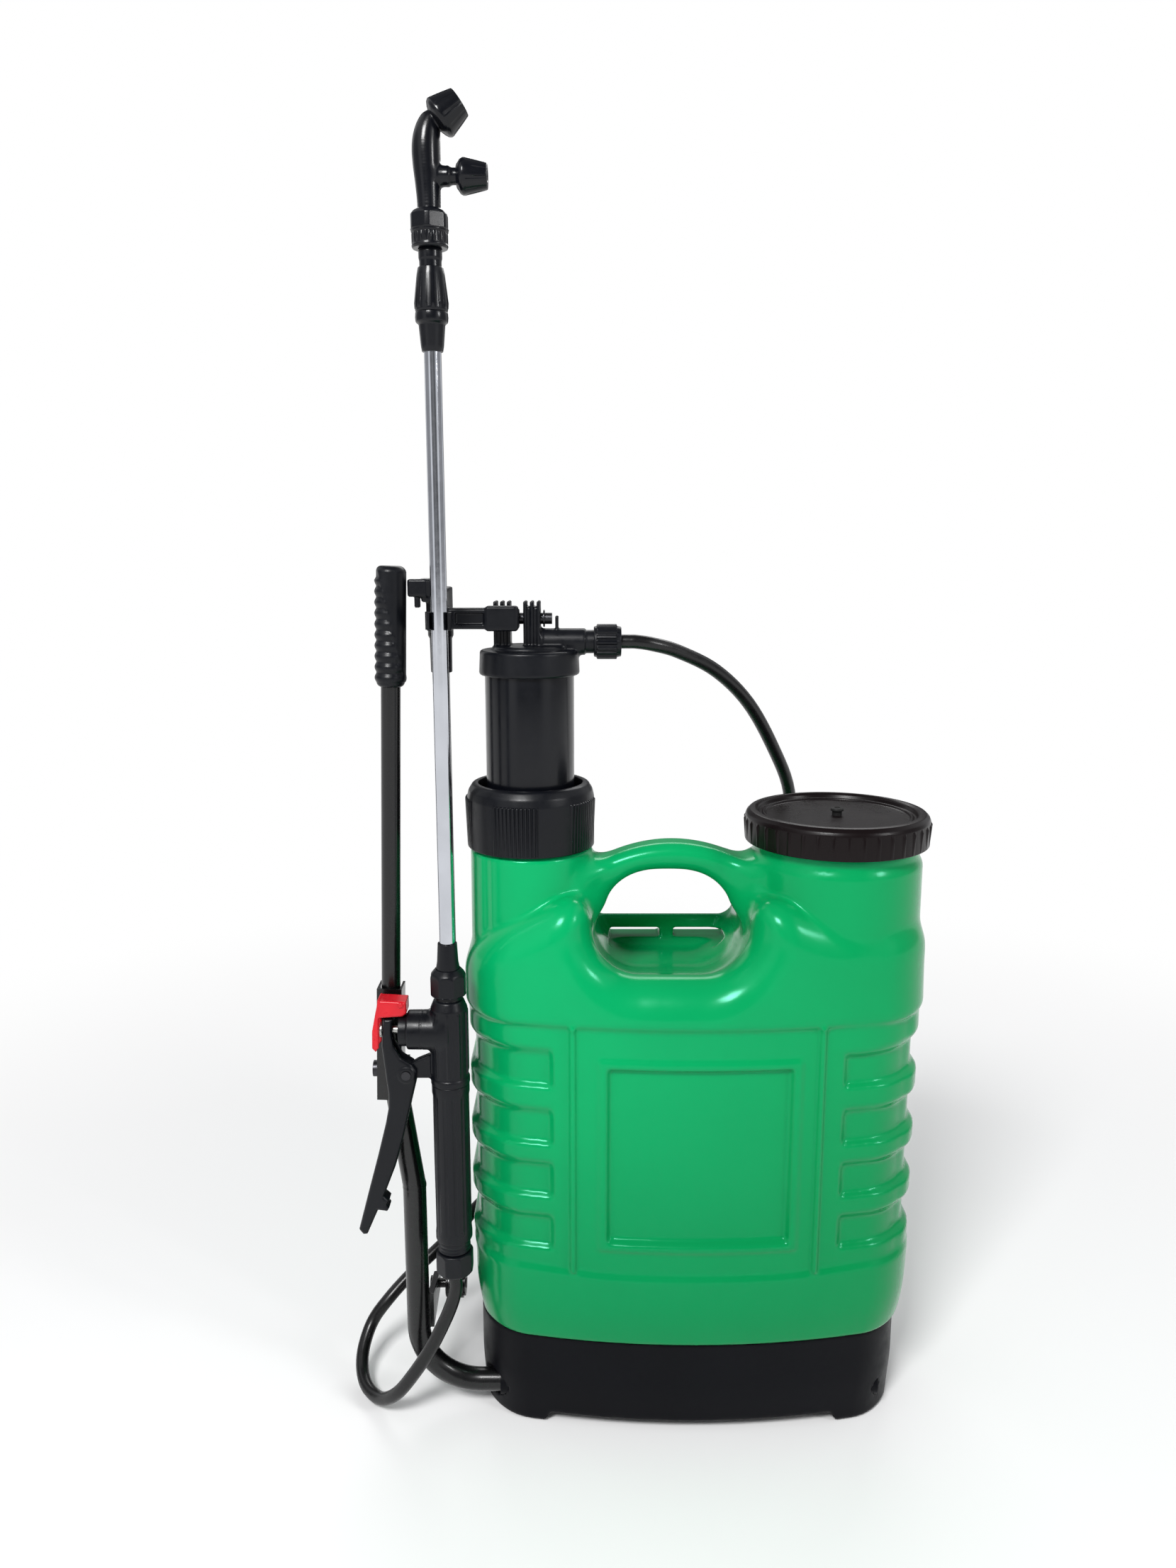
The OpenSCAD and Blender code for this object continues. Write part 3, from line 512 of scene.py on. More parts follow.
def make_hose():
    steps = 6
    line = spline(HOSE_ROUTE, steps)
    cut = HOSE_SPLIT * steps
    behind_loop, before_gun = np.array((-266, 12, 40)), np.array((-266, -71, 40))
    for name, part, start, end, bodies, nodes in (
            ("hose_upper_run", line[:cut + 1], line[2 * steps], line[10 * steps], ("chamber", "tank"), "hose_upper"),
            ("hose_lower_run", line[cut:], behind_loop, before_gun, ("tank", "gun"), "hose_lower")):
        verts, faces = tube_mesh(part, [HOSE_R] * len(part))
        piece = add_piece(name, None, nodes, verts, faces, hose_skin)
        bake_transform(piece)


make_hose()


# ---- tank ----

HALF_W, REAR_Y, BULGE_R, BULGE_Y = 184.2, 92.0, 680.0, 587.0
SEAM_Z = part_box("tank_shell")[0][2] / MM
STEP_Z, FOOT_STEP_Z = 357.0, 147.0
POCKETS = [(167, 193.5), (212, 239.5), (257, 285), (306, 335)]


def bell(v, low, high, rise, fall=None):
    """One between two values, easing to nothing past them."""
    return ease((v - low) / rise + 0.5) * ease((high - v) / (fall or rise) + 0.5)


def tank_inset(x, y, z):
    """How far the wall stands in from the tank's plain outline."""
    front = ease((-y - 25) / 20)
    inset = (8.5 - 4.5 * front) * np.clip((SEAM_Z + 40 - z) / 40, 0, 1) ** 2.2
    flank = ease((np.abs(x) - 165) / 12)
    step = 140 + 4 * ease((np.abs(x) - 60) / 90)
    inset = inset + (2.6 - 1.6 * flank) * bell(z, step + 6, STEP_Z + 2 * flank, 7)
    inset = inset - 1.6 * bell(z, STEP_Z + 2, 418, 14, 30)
    pocket = sum(bell(z, a, b, 6, 12) for a, b in POCKETS)
    beyond = ease((np.abs(x - 0.5) - 112) / 6)
    inset = inset + 4.6 * pocket * beyond
    rib = ease(1.2 - np.abs(np.abs(x + 1) - 97) / 3.2)
    inset = inset - 3.9 * rib * ease((z - 146.5) / 3) * ease((360 - z) / 3) * front
    panel = bell(x, -70, 73, 6) * bell(z, 176, 323, 6)
    border = bell(x, -78, 81, 7) * bell(z, 168, 331, 7)
    lip = np.maximum(border - panel, 0)
    nick = np.maximum(1 - np.abs(x - 2) / 1.2, 0) * bell(z, 84, 92, 3)
    return inset + (4.2 * panel - 1.9 * lip * bell(lip, 0.3, 2, 0.6) - 0.6 * nick) * front


def tank_form(p):
    x, y, z = p
    inset = tank_inset(x, y, z)
    low_part = ease((170 - z) / 40)
    side = np.abs(x - 1.6 * low_part) - HALF_W + 1.6 * low_part + inset
    side = side - 1.5 * ease(x / 150) * bell(z, 130, 370, 60)
    front = np.hypot(x, y - BULGE_Y) - BULGE_R + inset
    body = round_max(round_max(side, front, 42), y - REAR_Y + inset, 38)
    body = round_max(body, SEAM_Z - z, 4)
    left_top = 437 + 0.5 * (x + 142) + 4 * ease((x + 120) / 30)
    right_top = 440 + 0.0058 * np.minimum(x - 118, 0) ** 2
    top = np.where(x < -21, left_top, right_top) - 14 * ease((y - 10) / 60)
    body = round_max(body, (z - top) * 0.88, 27)
    neck = rod(p, (PUMP_X, PUMP_Y, 330), (PUMP_X, PUMP_Y, 484), 49.4, 48.6, 3)
    groove = rod(p, (PUMP_X - 37, PUMP_Y - 39, 300), (PUMP_X - 37, PUMP_Y - 39, 500), 4.5, 4.5, 3)
    neck = soft_max(neck, -groove, 5)
    mouth = rod(p, (LID_X, LID_Y, 330), (LID_X, LID_Y, 480), 69.2, 68.6, 8)
    collar = rod(p, (LID_X, LID_Y, 430), (LID_X, LID_Y, 488), 65.6, 65.6, 1.5)
    neck = np.minimum(neck, round_min(mouth, collar, 3))
    body = round_max(body, -scoop_form(x, y, z), 34)
    form = soft_min(body, neck, 3.5)
    arch = 488 - ((x + 18) / 15.2) ** 2
    handle = round_max(round_max((z - arch) * 0.97, 396 - z, 6), -hand_hole(x, z), 10)
    handle = round_max(handle, np.maximum(-99 - x, x - 52), 4)
    handle = round_max(handle, np.abs(y - PUMP_Y) - 16 - 12 * ease((np.abs(x + 21) - 42) / 34), 10)
    form = soft_min(form, handle, 18)
    for a, b in ((-67, -22), (-10, 35)):
        form = round_max(form, -block(p, (a, 40, 379), (b, 140, 388), 2.5), 1.5)
    threads = np.minimum(rod(p, (PUMP_X, PUMP_Y, 460), (PUMP_X, PUMP_Y, 512), 45.4, 45.4, 1),
                         rod(p, (LID_X, LID_Y, 460), (LID_X, LID_Y, 502), 64.8, 64.8, 1))
    form = np.minimum(form, threads)
    bore = np.minimum(rod(p, (PUMP_X, PUMP_Y, 88), (PUMP_X, PUMP_Y, 560), 41.6, 41.6, 2),
                      rod(p, (LID_X, LID_Y, 428), (LID_X, LID_Y, 560), 60.4, 60.4, 2))
    bore = np.minimum(bore, rod(p, (LID_X, LID_Y, 110), (LID_X, LID_Y, 440), 52, 52, 4))
    return round_max(form, -bore, 0.8)


def scoop_form(x, y, z):
    """The hollow under the handle, a valley that runs out over a soft front lip."""
    floor = 372 + 22 * ease((20 - y) / 100)
    across = np.abs(x + 21)
    valley = round_max(floor - z, across - 60 - 0.1 * (z - 410), 34)
    valley = round_max(valley, y - 66, 9)
    behind = round_max(round_max(402 - z, across - 62, 12), 48 - y, 12)
    return round_min(valley, behind, 5)


def hand_hole(x, z):
    """Distance to the hand hole: a low wide arch over a flat sill, negative inside it."""
    across = np.abs((x + 21.5) / (56 + 26 * ease((440 - z) / 35)))
    up = np.maximum(z - 412, 0) / 54
    return ((across ** 2.7 + up ** 2.1 + 1e-9) ** (1 / 2.4) - 1) * 45


moulded("tank_skin", "tank", "tank_shell", green, tank_form,
        (-192, -102, SEAM_Z - 5), (192, 99, 518), 2.1, sharp=85)


# ---- base ----

def base_form(p):
    x, y, z = p
    inset = 7 + 2 * ease((45 - z) / 45)
    side = np.abs(x) - HALF_W + inset
    front = np.hypot(x, y - BULGE_Y) - BULGE_R + inset
    plan = round_max(round_max(side, front, 40), y - REAR_Y + inset, 33)
    form = round_max(round_max(plan, -z, 4), z - SEAM_Z + 0.3, 1.5)
    arch = 9.5 * ease((124 - np.abs(x)) / 9)
    form = round_max(form, arch - z, 2.5)
    sides = 9.5 * ease((y + 42) / 12) * ease((50 - y) / 12)
    form = round_max(form, sides - z, 2.5)
    hollow = round_max(plan + 4, z - 79, 4)
    form = round_max(form, -hollow, 1.2)
    form = round_min(form, rod(p, (0, 0, 0), (0, 0, 81), 16, 16, 1.5), 3)
    for s in (-1, 1):
        boss = rod(p, (s * 158 - 12, CRANK_Y, 23.5), (s * 158 + 12, CRANK_Y, 23.5), 16, 16, 1)
        form = np.minimum(form, np.maximum(boss, plan + 1))
    form = round_max(form, -rod(p, (-200, CRANK_Y, 23.5), (-140, CRANK_Y, 23.5), 12.05, 12.05, 0.5), 0.8)
    return round_max(form, -rod(p, (140, CRANK_Y, 23.5), (159.4, CRANK_Y, 23.5), 12.05, 12.05, 0.5), 0.8)


moulded("base_skin", "tank", "base_shell", base_black, base_form,
        (-184, -96, -4), (184, 92, 88), 2.0)


# ---- pump ----

def ring_groups(a):
    """Five stretches of fine ribs round the nut, with plain stretches between them."""
    share = ((a + math.radians(123)) / (2 * math.pi) * 5) % 1
    return (share < 0.58).astype(float)


turned("ring_nut_skin", "ring_nut", "pump_ring_nut", black,
       [(51, 485.5), (51, 525), (49.6, 531), (46.5, 536), (44, 537), (41.6, 537), (41.6, 518.6), (46, 518.6),
        (46, 485.5)], PUMP_X, PUMP_Y, 1.2, 1000, ribs(100, 1.4, 1.9, 487, 526, 50.9, ring_groups))
turned("chamber_skin", "chamber", "air_chamber", gloss,
       [(0, 430), (35, 430), (35, 633.5), (31.6, 633.5), (31.6, 434), (0, 434)], PUMP_X, PUMP_Y, 1.2, 128)


def cap_form(p):
    x, y, z = p
    c = (PUMP_X, PUMP_Y)
    form = rod(p, (*c, 622.5), (*c, 642), 39.5, 38.6, 2.4)
    form = round_min(form, rod(p, (*c, 636), (*c, 645), 30, 29, 2), 1.5)
    for x0 in (-159, -136):
        lug = round_max(block(p, (x0, PUMP_Y - 9, 638), (x0 + 13, PUMP_Y + 9, 675.5), 2.5),
                        -rod(p, (x0 - 2, PUMP_Y, ARM_Z), (x0 + 15, PUMP_Y, ARM_Z), 4.45, 4.45, 0.3), 0.4)
        for k in range(3):
            fin = block(p, (x0 + 5.2 * k, PUMP_Y - 10.5, 640), (x0 + 5.2 * k + 2.6, PUMP_Y + 10.5, 679.5), 1)
            fin = round_max(fin, -rod(p, (x0 - 2, PUMP_Y, ARM_Z), (x0 + 15, PUMP_Y, ARM_Z), 4.45, 4.45, 0.3), 0.4)
            lug = round_min(lug, fin, 0.6)
        form = round_min(form, lug, 2)
    spout = rod(p, (-124, PUMP_Y, OUTLET_Z), (-88, PUMP_Y, OUTLET_Z), 10.4, 10.4, 1.2)
    spout = round_min(spout, rod(p, (-92, PUMP_Y, OUTLET_Z), (-66, PUMP_Y, OUTLET_Z), 9.1, 9.1, 0.8), 0.8)
    form = round_min(form, spout, 3)
    form = round_min(form, block(p, (-111.5, PUMP_Y - 5, 655), (-109, PUMP_Y + 5, 668), 0.8), 1)
    bore = rod(p, (*c, 600), (*c, 635), 35.2, 35.2, 0.5)
    form = round_max(form, -bore, 0.6)
    return round_max(form, -rod(p, (-110, PUMP_Y, OUTLET_Z), (-50, PUMP_Y, OUTLET_Z), 4.5, 4.5, 0.3), 0.4)


moulded("chamber_cap_skin", "chamber", "chamber_cap", black, cap_form,
        (-174, -54, 620), (-63, 30, 682), 0.9)
spin = tip_over((0, PUMP_Y, OUTLET_Z), math.pi / 2)
turned("outlet_nut_skin", "chamber", "outlet_nut", black,
       [(9.25, -81.5), (11.6, -81.5), (12.3, -79), (12.3, -64), (11.4, -60), (5.6, -60), (5.6, -66), (9.25, -66)],
       0, 0, 0.8, 216, ribs(18, 1.3, 2.4, -80, -62, 12.2), place=spin)


def arm_form(p):
    y1 = PUMP_Y - 13
    form = block(p, (ROD_X - 4, y1 - 11, 659), (-139.5, y1, 675), 2.2)
    form = round_max(form, -block(p, (ROD_X + 14, y1 - 14, 662.5), (-165, y1 - 8.5, 671.5), 1.5), 0.6)
    form = round_min(form, block(p, (-164, y1 - 12, 657.5), (-139.5, y1 + 0.5, 676.5), 2), 1.5)
    form = round_min(form, block(p, (-145, PUMP_Y - 20, ARM_Z - 6.5), (-139.5, PUMP_Y + 2, ARM_Z + 6.5), 1.2), 1.5)
    form = round_min(form, rod(p, (-145, PUMP_Y, ARM_Z), (-139.5, PUMP_Y, ARM_Z), 7.5, 7.5, 0.8), 1)
    form = round_min(form, block(p, (ROD_X - 8, PUMP_Y - 24, 657), (ROD_X + 8, PUMP_Y, 690), 2.5), 2)
    sleeve = round_min(rod(p, (ROD_X, PUMP_Y, 624), (ROD_X, PUMP_Y, 660), 8.4, 8.8, 1),
                       rod(p, (ROD_X, PUMP_Y, 652), (ROD_X, PUMP_Y, 690.5), 9.8, 9.8, 1.5), 2)
    form = round_min(form, sleeve, 2)
    form = round_min(form, block(p, (ROD_X - 9.5, -50, 680), (ROD_X + 1, PUMP_Y - 6, 697), 2), 2)
    form = round_min(form, block(p, (-220.3, -52, 684), (ROD_X - 4, -42, 697), 1.8), 2)
    form = round_min(form, block(p, (-215.5, -50, 676), (-211.5, -44, 686), 1), 1)
    form = round_max(form, -rod(p, (ROD_X, PUMP_Y, 600), (ROD_X, PUMP_Y, 684), 6.25, 6.25, 0.4), 0.5)
    return round_max(form, -rod(p, (-150, PUMP_Y, ARM_Z), (-136, PUMP_Y, ARM_Z), 4.45, 4.45, 0.3), 0.4)


moulded("pump_arm_skin", "arm", "pump_arm", black, arm_form,
        (-223, -56, 621), (-137, 3, 700), 0.8)


# ---- lever ----

def grip_form(p):
    x, y, z = p
    c, s = math.cos(LEAN), math.sin(LEAN)
    dx, dz = x - BAR_X, z - FOLD_Z
    u, w = dx * c - dz * s, dx * s + dz * c
    v = y - CRANK_Y
    q = np.hypot(u, v)
    core = round_max(q - 10.6, np.abs(w - 354) - 45, 4)
    rings = 1.4 * (0.5 + 0.5 * np.cos((w - 316) / 8 * 2 * math.pi)) ** 0.7
    plain = ease((u * 0.7 + (w - 353) * 0.17 - 1.5) / 2) * ease((9 + v * -1) / 1.5)
    core = core - rings * (1 - 0.9 * plain) * ease((w - 311) / 3) * ease((392 - w) / 4)
    smooth = round_max(round_max(q - 11.6, np.abs(w - 354) - 44, 4), -(u * 0.7 + (w - 353) * 0.17 - 1), 1)
    core = round_min(core, smooth, 0.8)
    return round_max(core, -round_max(q - 7.45, w - 391.2, 0.5), 0.6)


low, high = (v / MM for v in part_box("lever_grip"))
moulded("lever_grip_skin", "bar", "lever_grip", black, grip_form,
        tuple(low - Vector((3, 3, 3))), tuple(high + Vector((3, 3, 3))), 0.7)


# ---- gun ----

turned("gun_hose_nut_skin", "gun", "gun_hose_nut", black,
       [(5.6, 143), (13, 143), (15.4, 146), (15.4, 161), (14, 163), (10.05, 163), (10.05, 150), (5.6, 150)],
       LANCE_X, LANCE_Y, 1, 192, facets(8, 144, 162.4, 14.4))


def flutes(a, r, z):
    groove = np.clip(1 - (np.abs((a / (2 * math.pi) * 12) % 1 - 0.5) / 0.2) ** 2, 0, 1) ** 0.5
    return r - 1.2 * groove * np.clip((z - 184) / 4, 0, 1) * np.clip((298 - z) / 4, 0, 1) * (r > 12)


turned("gun_handle_skin", "gun", "gun_handle", black,
       [(5, 150), (10, 150), (10, 163.4), (12.6, 163.4), (13.1, 165), (12.4, 166.4), (13.1, 168), (12.4, 169.4),
        (13.1, 171), (12.6, 173.5), (14.6, 174.5), (14.6, 180), (14.2, 184), (14.3, 240), (14.2, 298),
        (14.8, 301), (14.8, 308), (5, 308)],
       LANCE_X, LANCE_Y, 0.7, 240, flutes)


def gun_body_form(p):
    x, y, z = p
    c = (LANCE_X, LANCE_Y)
    form = rod(p, (*c, 308), (*c, 371), 14.3, 14.3, 1)
    angle = np.arctan2(y - LANCE_Y, x - LANCE_X)
    rib = np.clip(1 - (np.abs((angle / (2 * math.pi) * 10) % 1 - 0.5) / 0.12) ** 2, 0, 1)
    form = form - 1.0 * rib * ease((z - 315) / 3) * ease((370 - z) / 3)
    form = round_min(form, rod(p, (*c, 308), (*c, 314), 15.3, 15.3, 1.2), 0.8)
    form = round_min(form, rod(p, (*c, 370), (*c, 377.6), 14.6, 11.5, 1.2), 0.5)
    form = round_min(form, rod(p, (*c, 376), (*c, 393), 9.9, 9.9, 0.6), 0.5)
    barrel = rod(p, (-226.3, LANCE_Y, VALVE_Z), (LANCE_X, LANCE_Y, VALVE_Z), 15.3, 15.8, 1.4)
    barrel = round_max(barrel, -(np.abs(np.hypot(y - LANCE_Y, z - VALVE_Z) - 16) + np.abs(x + 215) - 1), 0.2)
    form = round_min(form, barrel, 3)
    lug = plate(p, [(-200, 336), (-219, 328), (-226, 323.6), (-231.5, 321), (-233, 317), (-230.5, 313.2),
                    (-225, 312.6), (-200, 312.6)], LANCE_Y, 7, 1.2)
    form = round_min(form, lug, 2)
    form = round_max(form, -rod(p, (-235, LANCE_Y, VALVE_Z), (-198, LANCE_Y, VALVE_Z), 9.05, 9.05, 0.4), 0.5)
    form = round_max(form, -rod(p, (*c, 380), (*c, 400), 6.2, 6.2, 0.3), 0.4)
    return round_max(form, -rod(p, (TRIGGER_X, -100, TRIGGER_Z), (TRIGGER_X, -50, TRIGGER_Z), 2.5, 2.5, 0.2), 0.3)


moulded("gun_body_skin", "gun", "gun_body", black, gun_body_form,
        (-236, -93, 305), (-175, -57, 396), 0.8)
turned("lance_nut_skin", "gun", "lance_nut", black,
       [(10.1, 381), (13.2, 381), (14.1, 382.5), (14.1, 396), (12.8, 399), (9.8, 402.4), (9.05, 402.4),
        (9.05, 394), (10.1, 394)],
       LANCE_X, LANCE_Y, 0.8, 192, facets(8, 382, 397.5, 13.1))
turned("lance_sleeve_skin", "gun", "lance_sleeve", black,
       [(6.05, 394), (8.9, 394), (8.9, 404), (8.2, 408), (7.4, 423), (6.05, 423)], LANCE_X, LANCE_Y, 0.8, 64)

TRIGGER = [(-236.9, 363), (-237.8, 351), (-236.8, 341), (-231.3, 331), (-223, 325.5), (-219.1, 320),
           (-220, 312), (-224.4, 294), (-231, 266), (-239, 238), (-248.6, 213), (-244.5, 209),
           (-246.5, 205), (-244.8, 202.5), (-246.5, 199.5), (-253.9, 200.6), (-263, 179.6), (-266.5, 179.2),
           (-269.7, 183.7), (-260.5, 218), (-252.3, 248), (-245.4, 275), (-242.6, 289), (-242.4, 300),
           (-243.6, 312), (-246.3, 340), (-245.6, 352), (-244.5, 363)]
TRIGGER_HOLLOW = [(-230, 372), (-241.5, 372), (-242.3, 352), (-242.3, 340), (-239.5, 300), (-239, 285),
                  (-246, 256), (-230, 240), (-210, 290), (-210, 330), (-225, 345)]


def trigger_form(p):
    form = plate(p, TRIGGER, LANCE_Y, 15, 3.2)
    form = round_max(form, -plate(p, TRIGGER_HOLLOW, LANCE_Y, 9, 1), 0.8)
    slot = block(p, (-262, LANCE_Y - 4.2, VALVE_Z - 4.2), (-236, LANCE_Y + 4.2, VALVE_Z + 8.8), 1)
    form = round_max(form, -slot, 0.4)
    boss = rod(p, (TRIGGER_X, LANCE_Y - 8.2, TRIGGER_Z), (TRIGGER_X, LANCE_Y + 8.2, TRIGGER_Z), 6.2, 6.2, 0.8)
    boss = round_max(boss, -block(p, (-245, LANCE_Y - 4.5, 300), (-210, LANCE_Y + 4.5, 335), 0.5), 0.4)
    form = round_min(form, boss, 1.5)
    return round_max(form, -rod(p, (TRIGGER_X, -100, TRIGGER_Z), (TRIGGER_X, -50, TRIGGER_Z), 2.6, 2.6, 0.2), 0.4)


moulded("trigger_skin", "trigger", "trigger", black, trigger_form,
        (-273, -86, 176), (-215, -64, 367), 0.8)


def lock_form(p):
    form = plate(p, [(-248, 378.8), (-226, 377.6), (-226, 368), (-229, 365.5), (-248, 364.2)], LANCE_Y, 17, 2)
    tail = plate(p, [(-247.2, 378.8), (-248, 340), (-250.6, 336.3), (-253.4, 339.4), (-253, 353),
                     (-249.8, 369)], LANCE_Y, 17, 1.6)
    form = round_min(form, tail, 1.5)
    form = round_max(form, -block(p, (-257, LANCE_Y - 6.3, 330), (-247, LANCE_Y + 6.3, 364), 1), 0.8)
    return round_min(form, rod(p, (-230, LANCE_Y - 9.5, 375), (-230, LANCE_Y + 9.5, 375), 2, 2, 0.4), 0.4)


moulded("trigger_lock_skin", "lock", "trigger_lock", red, lock_form,
        (-256, -86, 334), (-223, -64, 382), 0.7)


# ---- lance tip ----

def two_waves(first, second):
    return lambda a, r, z: second(a, first(a, r, z), z)


turned("tip_sleeve_skin", "gun", "tip_sleeve", gloss,
       [(6.05, 853), (7.3, 853), (8, 857), (9.2, 871), (11.2, 872.5), (11.5, 875.5), (11.2, 879), (6.05, 879)],
       LANCE_X, LANCE_Y, 0.7, 72)
turned("tip_nut_skin", "gun", "tip_nut", gloss,
       [(7.65, 879), (11, 879), (11.4, 881), (11, 885), (9.7, 903), (8.7, 908), (7.65, 908)],
       LANCE_X, LANCE_Y, 0.6, 252,
       lambda a, r, z: r + 0.9 * (np.cos(a * 14) > 0.2) * np.clip((z - 881) / 1.5, 0, 1)
       * np.clip((903 - z) / 3, 0, 1) * (r > 9.4))
turned("tip_neck_skin", "gun", "tip_neck", gloss,
       [(3, 879), (7.6, 879), (7.6, 912), (8.1, 914), (8.1, 918), (7.6, 920), (7.6, 935), (3, 935)],
       LANCE_X, LANCE_Y, 0.6, 64)
turned("tip_union_skin", "gun", "tip_union", gloss,
       [(8.15, 920), (12, 920), (12.6, 921.5), (12.2, 922.8), (12.2, 929.6), (12.8, 930.6), (12.8, 931.6),
        (13.3, 932.5), (13.3, 941), (11.4, 943.5), (9.2, 945), (8.2, 945)],
       LANCE_X, LANCE_Y, 0.5, 288,
       two_waves(ribs(24, 1.0, 1.6, 923, 929.5, 12.15), facets(6, 932.2, 941.6, 12.2)))


NOZZLE_BEND = [(0, 936, 7.8), (0, 950, 8), (-0.4, 962, 8.6), (-0.9, 974, 9.4), (-1, 984, 9.6), (-0.2, 992, 8.9),
               (1.8, 999, 7.4), (4.6, 1001.5, 6), (8, 1004, 5.5)]


def nozzle_form(p):
    x, y, z = p
    t = np.array(TOP_CAP)
    way = np.array([math.sin(math.radians(54)), 0, math.cos(math.radians(54))])
    form = np.full(np.shape(x), 1e3)
    for dx, cz, r in spline(NOZZLE_BEND, 6):
        form = np.minimum(form, ball(p, (LANCE_X + dx, LANCE_Y, cz), r))
    form = round_max(form, 935.4 - z, 0.5)
    form = soft_min(form, rod(p, t - way * 3, t + way * 7, 5.5, 5.5, 0.6), 2)
    form = soft_min(form, rod(p, t - way * 2.4, t - way * 0.6, 6.9, 6.9, 0.8), 1)
    form = soft_min(form, rod(p, (LANCE_X, LANCE_Y, SIDE_Z), (LANCE_X + 26, LANCE_Y, SIDE_Z), 5.5, 5.4, 0.5), 4)
    form = soft_min(form, rod(p, (LANCE_X + 8, LANCE_Y, SIDE_Z), (LANCE_X + 14, LANCE_Y, SIDE_Z), 5.5, 6.4, 1), 3)
    side = (LANCE_X + 10, LANCE_Y, SIDE_Z)
    form = round_max(form, -rod(p, side, (LANCE_X + 60, LANCE_Y, SIDE_Z), 2.4, 2.4, 0.3), 0.3)
    return round_max(form, -rod(p, t, t + way * 30, 2.4, 2.4, 0.3), 0.3)


moulded("nozzle_skin", "nozzle", "nozzle_body", gloss, nozzle_form,
        (-206, -87, 933), (-165, -63, 1010), 0.7)

CAP_PROFILE = [(5.6, 0), (7.2, 0), (9.4, 1.2), (11.6, 2.6), (12.7, 4.4), (12.6, 6), (12.2, 7.6), (10.6, 14.5),
               (8.9, 21), (3.4, 21), (1.7, 19.2), (1.7, 15.6), (5.2, 15.6), (5.6, 7.5)]


def cap_wave(a, r, z):
    groove = (np.cos(a * 10) > 0.72) * np.clip((z - 7) / 1.2, 0, 1) * np.clip((20 - z) / 2, 0, 1) * (r > 8.4)
    return r - 0.55 * groove


for name, body, node, centre, tilt in (
        ("top_cap_skin", "top_cap", "nozzle_cap_top", TOP_CAP, math.radians(54)),
        ("side_cap_skin", "side_cap", "nozzle_cap_side", (LANCE_X + 19, LANCE_Y, SIDE_Z), math.pi / 2)):
    grow, back = (1.1, 2.2) if tilt < 1 else (0.93, 0)
    seat = (centre[0] - back * math.sin(tilt), centre[1], centre[2] - back * math.cos(tilt))
    shell = [(r * grow if r > 8 else r, h) for r, h in CAP_PROFILE]
    turned(name, body, node, gloss, shell, 0, 0, 0.7, 200, cap_wave,
           place=tip_over(seat, tilt))


# ---- lid ----

turned("lid_skin", "lid", "filler_lid", lid_black,
       [(0, 509), (56, 509), (57, 509.4), (57.6, 510.6), (58.6, 511), (60, 509.5), (62, 509.5), (63.2, 512.6),
        (65.5, 514.2), (69.5, 513.6), (72.2, 511), (73.2, 508.5), (73.2, 505.5), (73.2, 489), (65.2, 489),
        (65.2, 506.6), (0, 506.6)],
       LID_X, LID_Y, 0.8, 960, ribs(40, 1.5, 2.6, 490, 506.5, 73.1))
turned("lid_vent_skin", "lid_inner", "lid_vent", seal,
       [(0, 503.6), (7, 503.6), (7, 506.4), (3.9, 506.5), (3.9, 512.5), (5.2, 512.6), (5.0, 514.4),
        (2.4, 515.4), (2.2, 513.8), (0, 513.8)], LID_X, LID_Y, 0.5, 48)


# ---- the CAD nodes that stay ----

def dress(names, made, bevel=0.4):
    for name in names.split():
        node = frame["nodes"][name]
        node.data.materials.clear()
        node.data.materials.append(made)
        weld = node.modifiers.new("weld", "WELD")
        weld.merge_threshold = 1e-6
        if bevel:
            edge = node.modifiers.new("edge", "BEVEL")
            edge.width = bevel * MM
            edge.segments = 2
            edge.limit_method = "ANGLE"
            edge.angle_limit = math.radians(40)
            edge.harden_normals = False
        node.data.polygons.foreach_set("use_smooth", [True] * len(node.data.polygons))
        normals = node.modifiers.new("normals", "WEIGHTED_NORMAL")
        normals.weight = 60
        normals.keep_sharp = True


dress("base_screws valve_spring valve_stem", zinc, 0.25)
dress("arm_pin arm_pin_clips crank_collars", steel, 0.25)
dress("fold_bolt wing_nut trigger_pin", steel, 0.25)
dress("foot_valve_ball delivery_ball", zinc, 0)
dress("connecting_rod crank_tube lever_bar fold_channel", paint, 0.5)
dress("crank_pin rod_washer rod_clip", paint, 0.25)
dress("lance_clip valve_cap", black, 0.5)
dress("lance_tube", chrome, 0.15)
dress("pump_barrel foot_strainer plunger_tube piston_body filter_basket", natural, 0.4)
dress("crank_bushes", base_black, 0.4)
dress("barrel_seal chamber_cap_seal piston_cup lid_gasket", seal, 0.3)
dress("nozzle_inserts", brass, 0.2)


# ---- floor and light ----

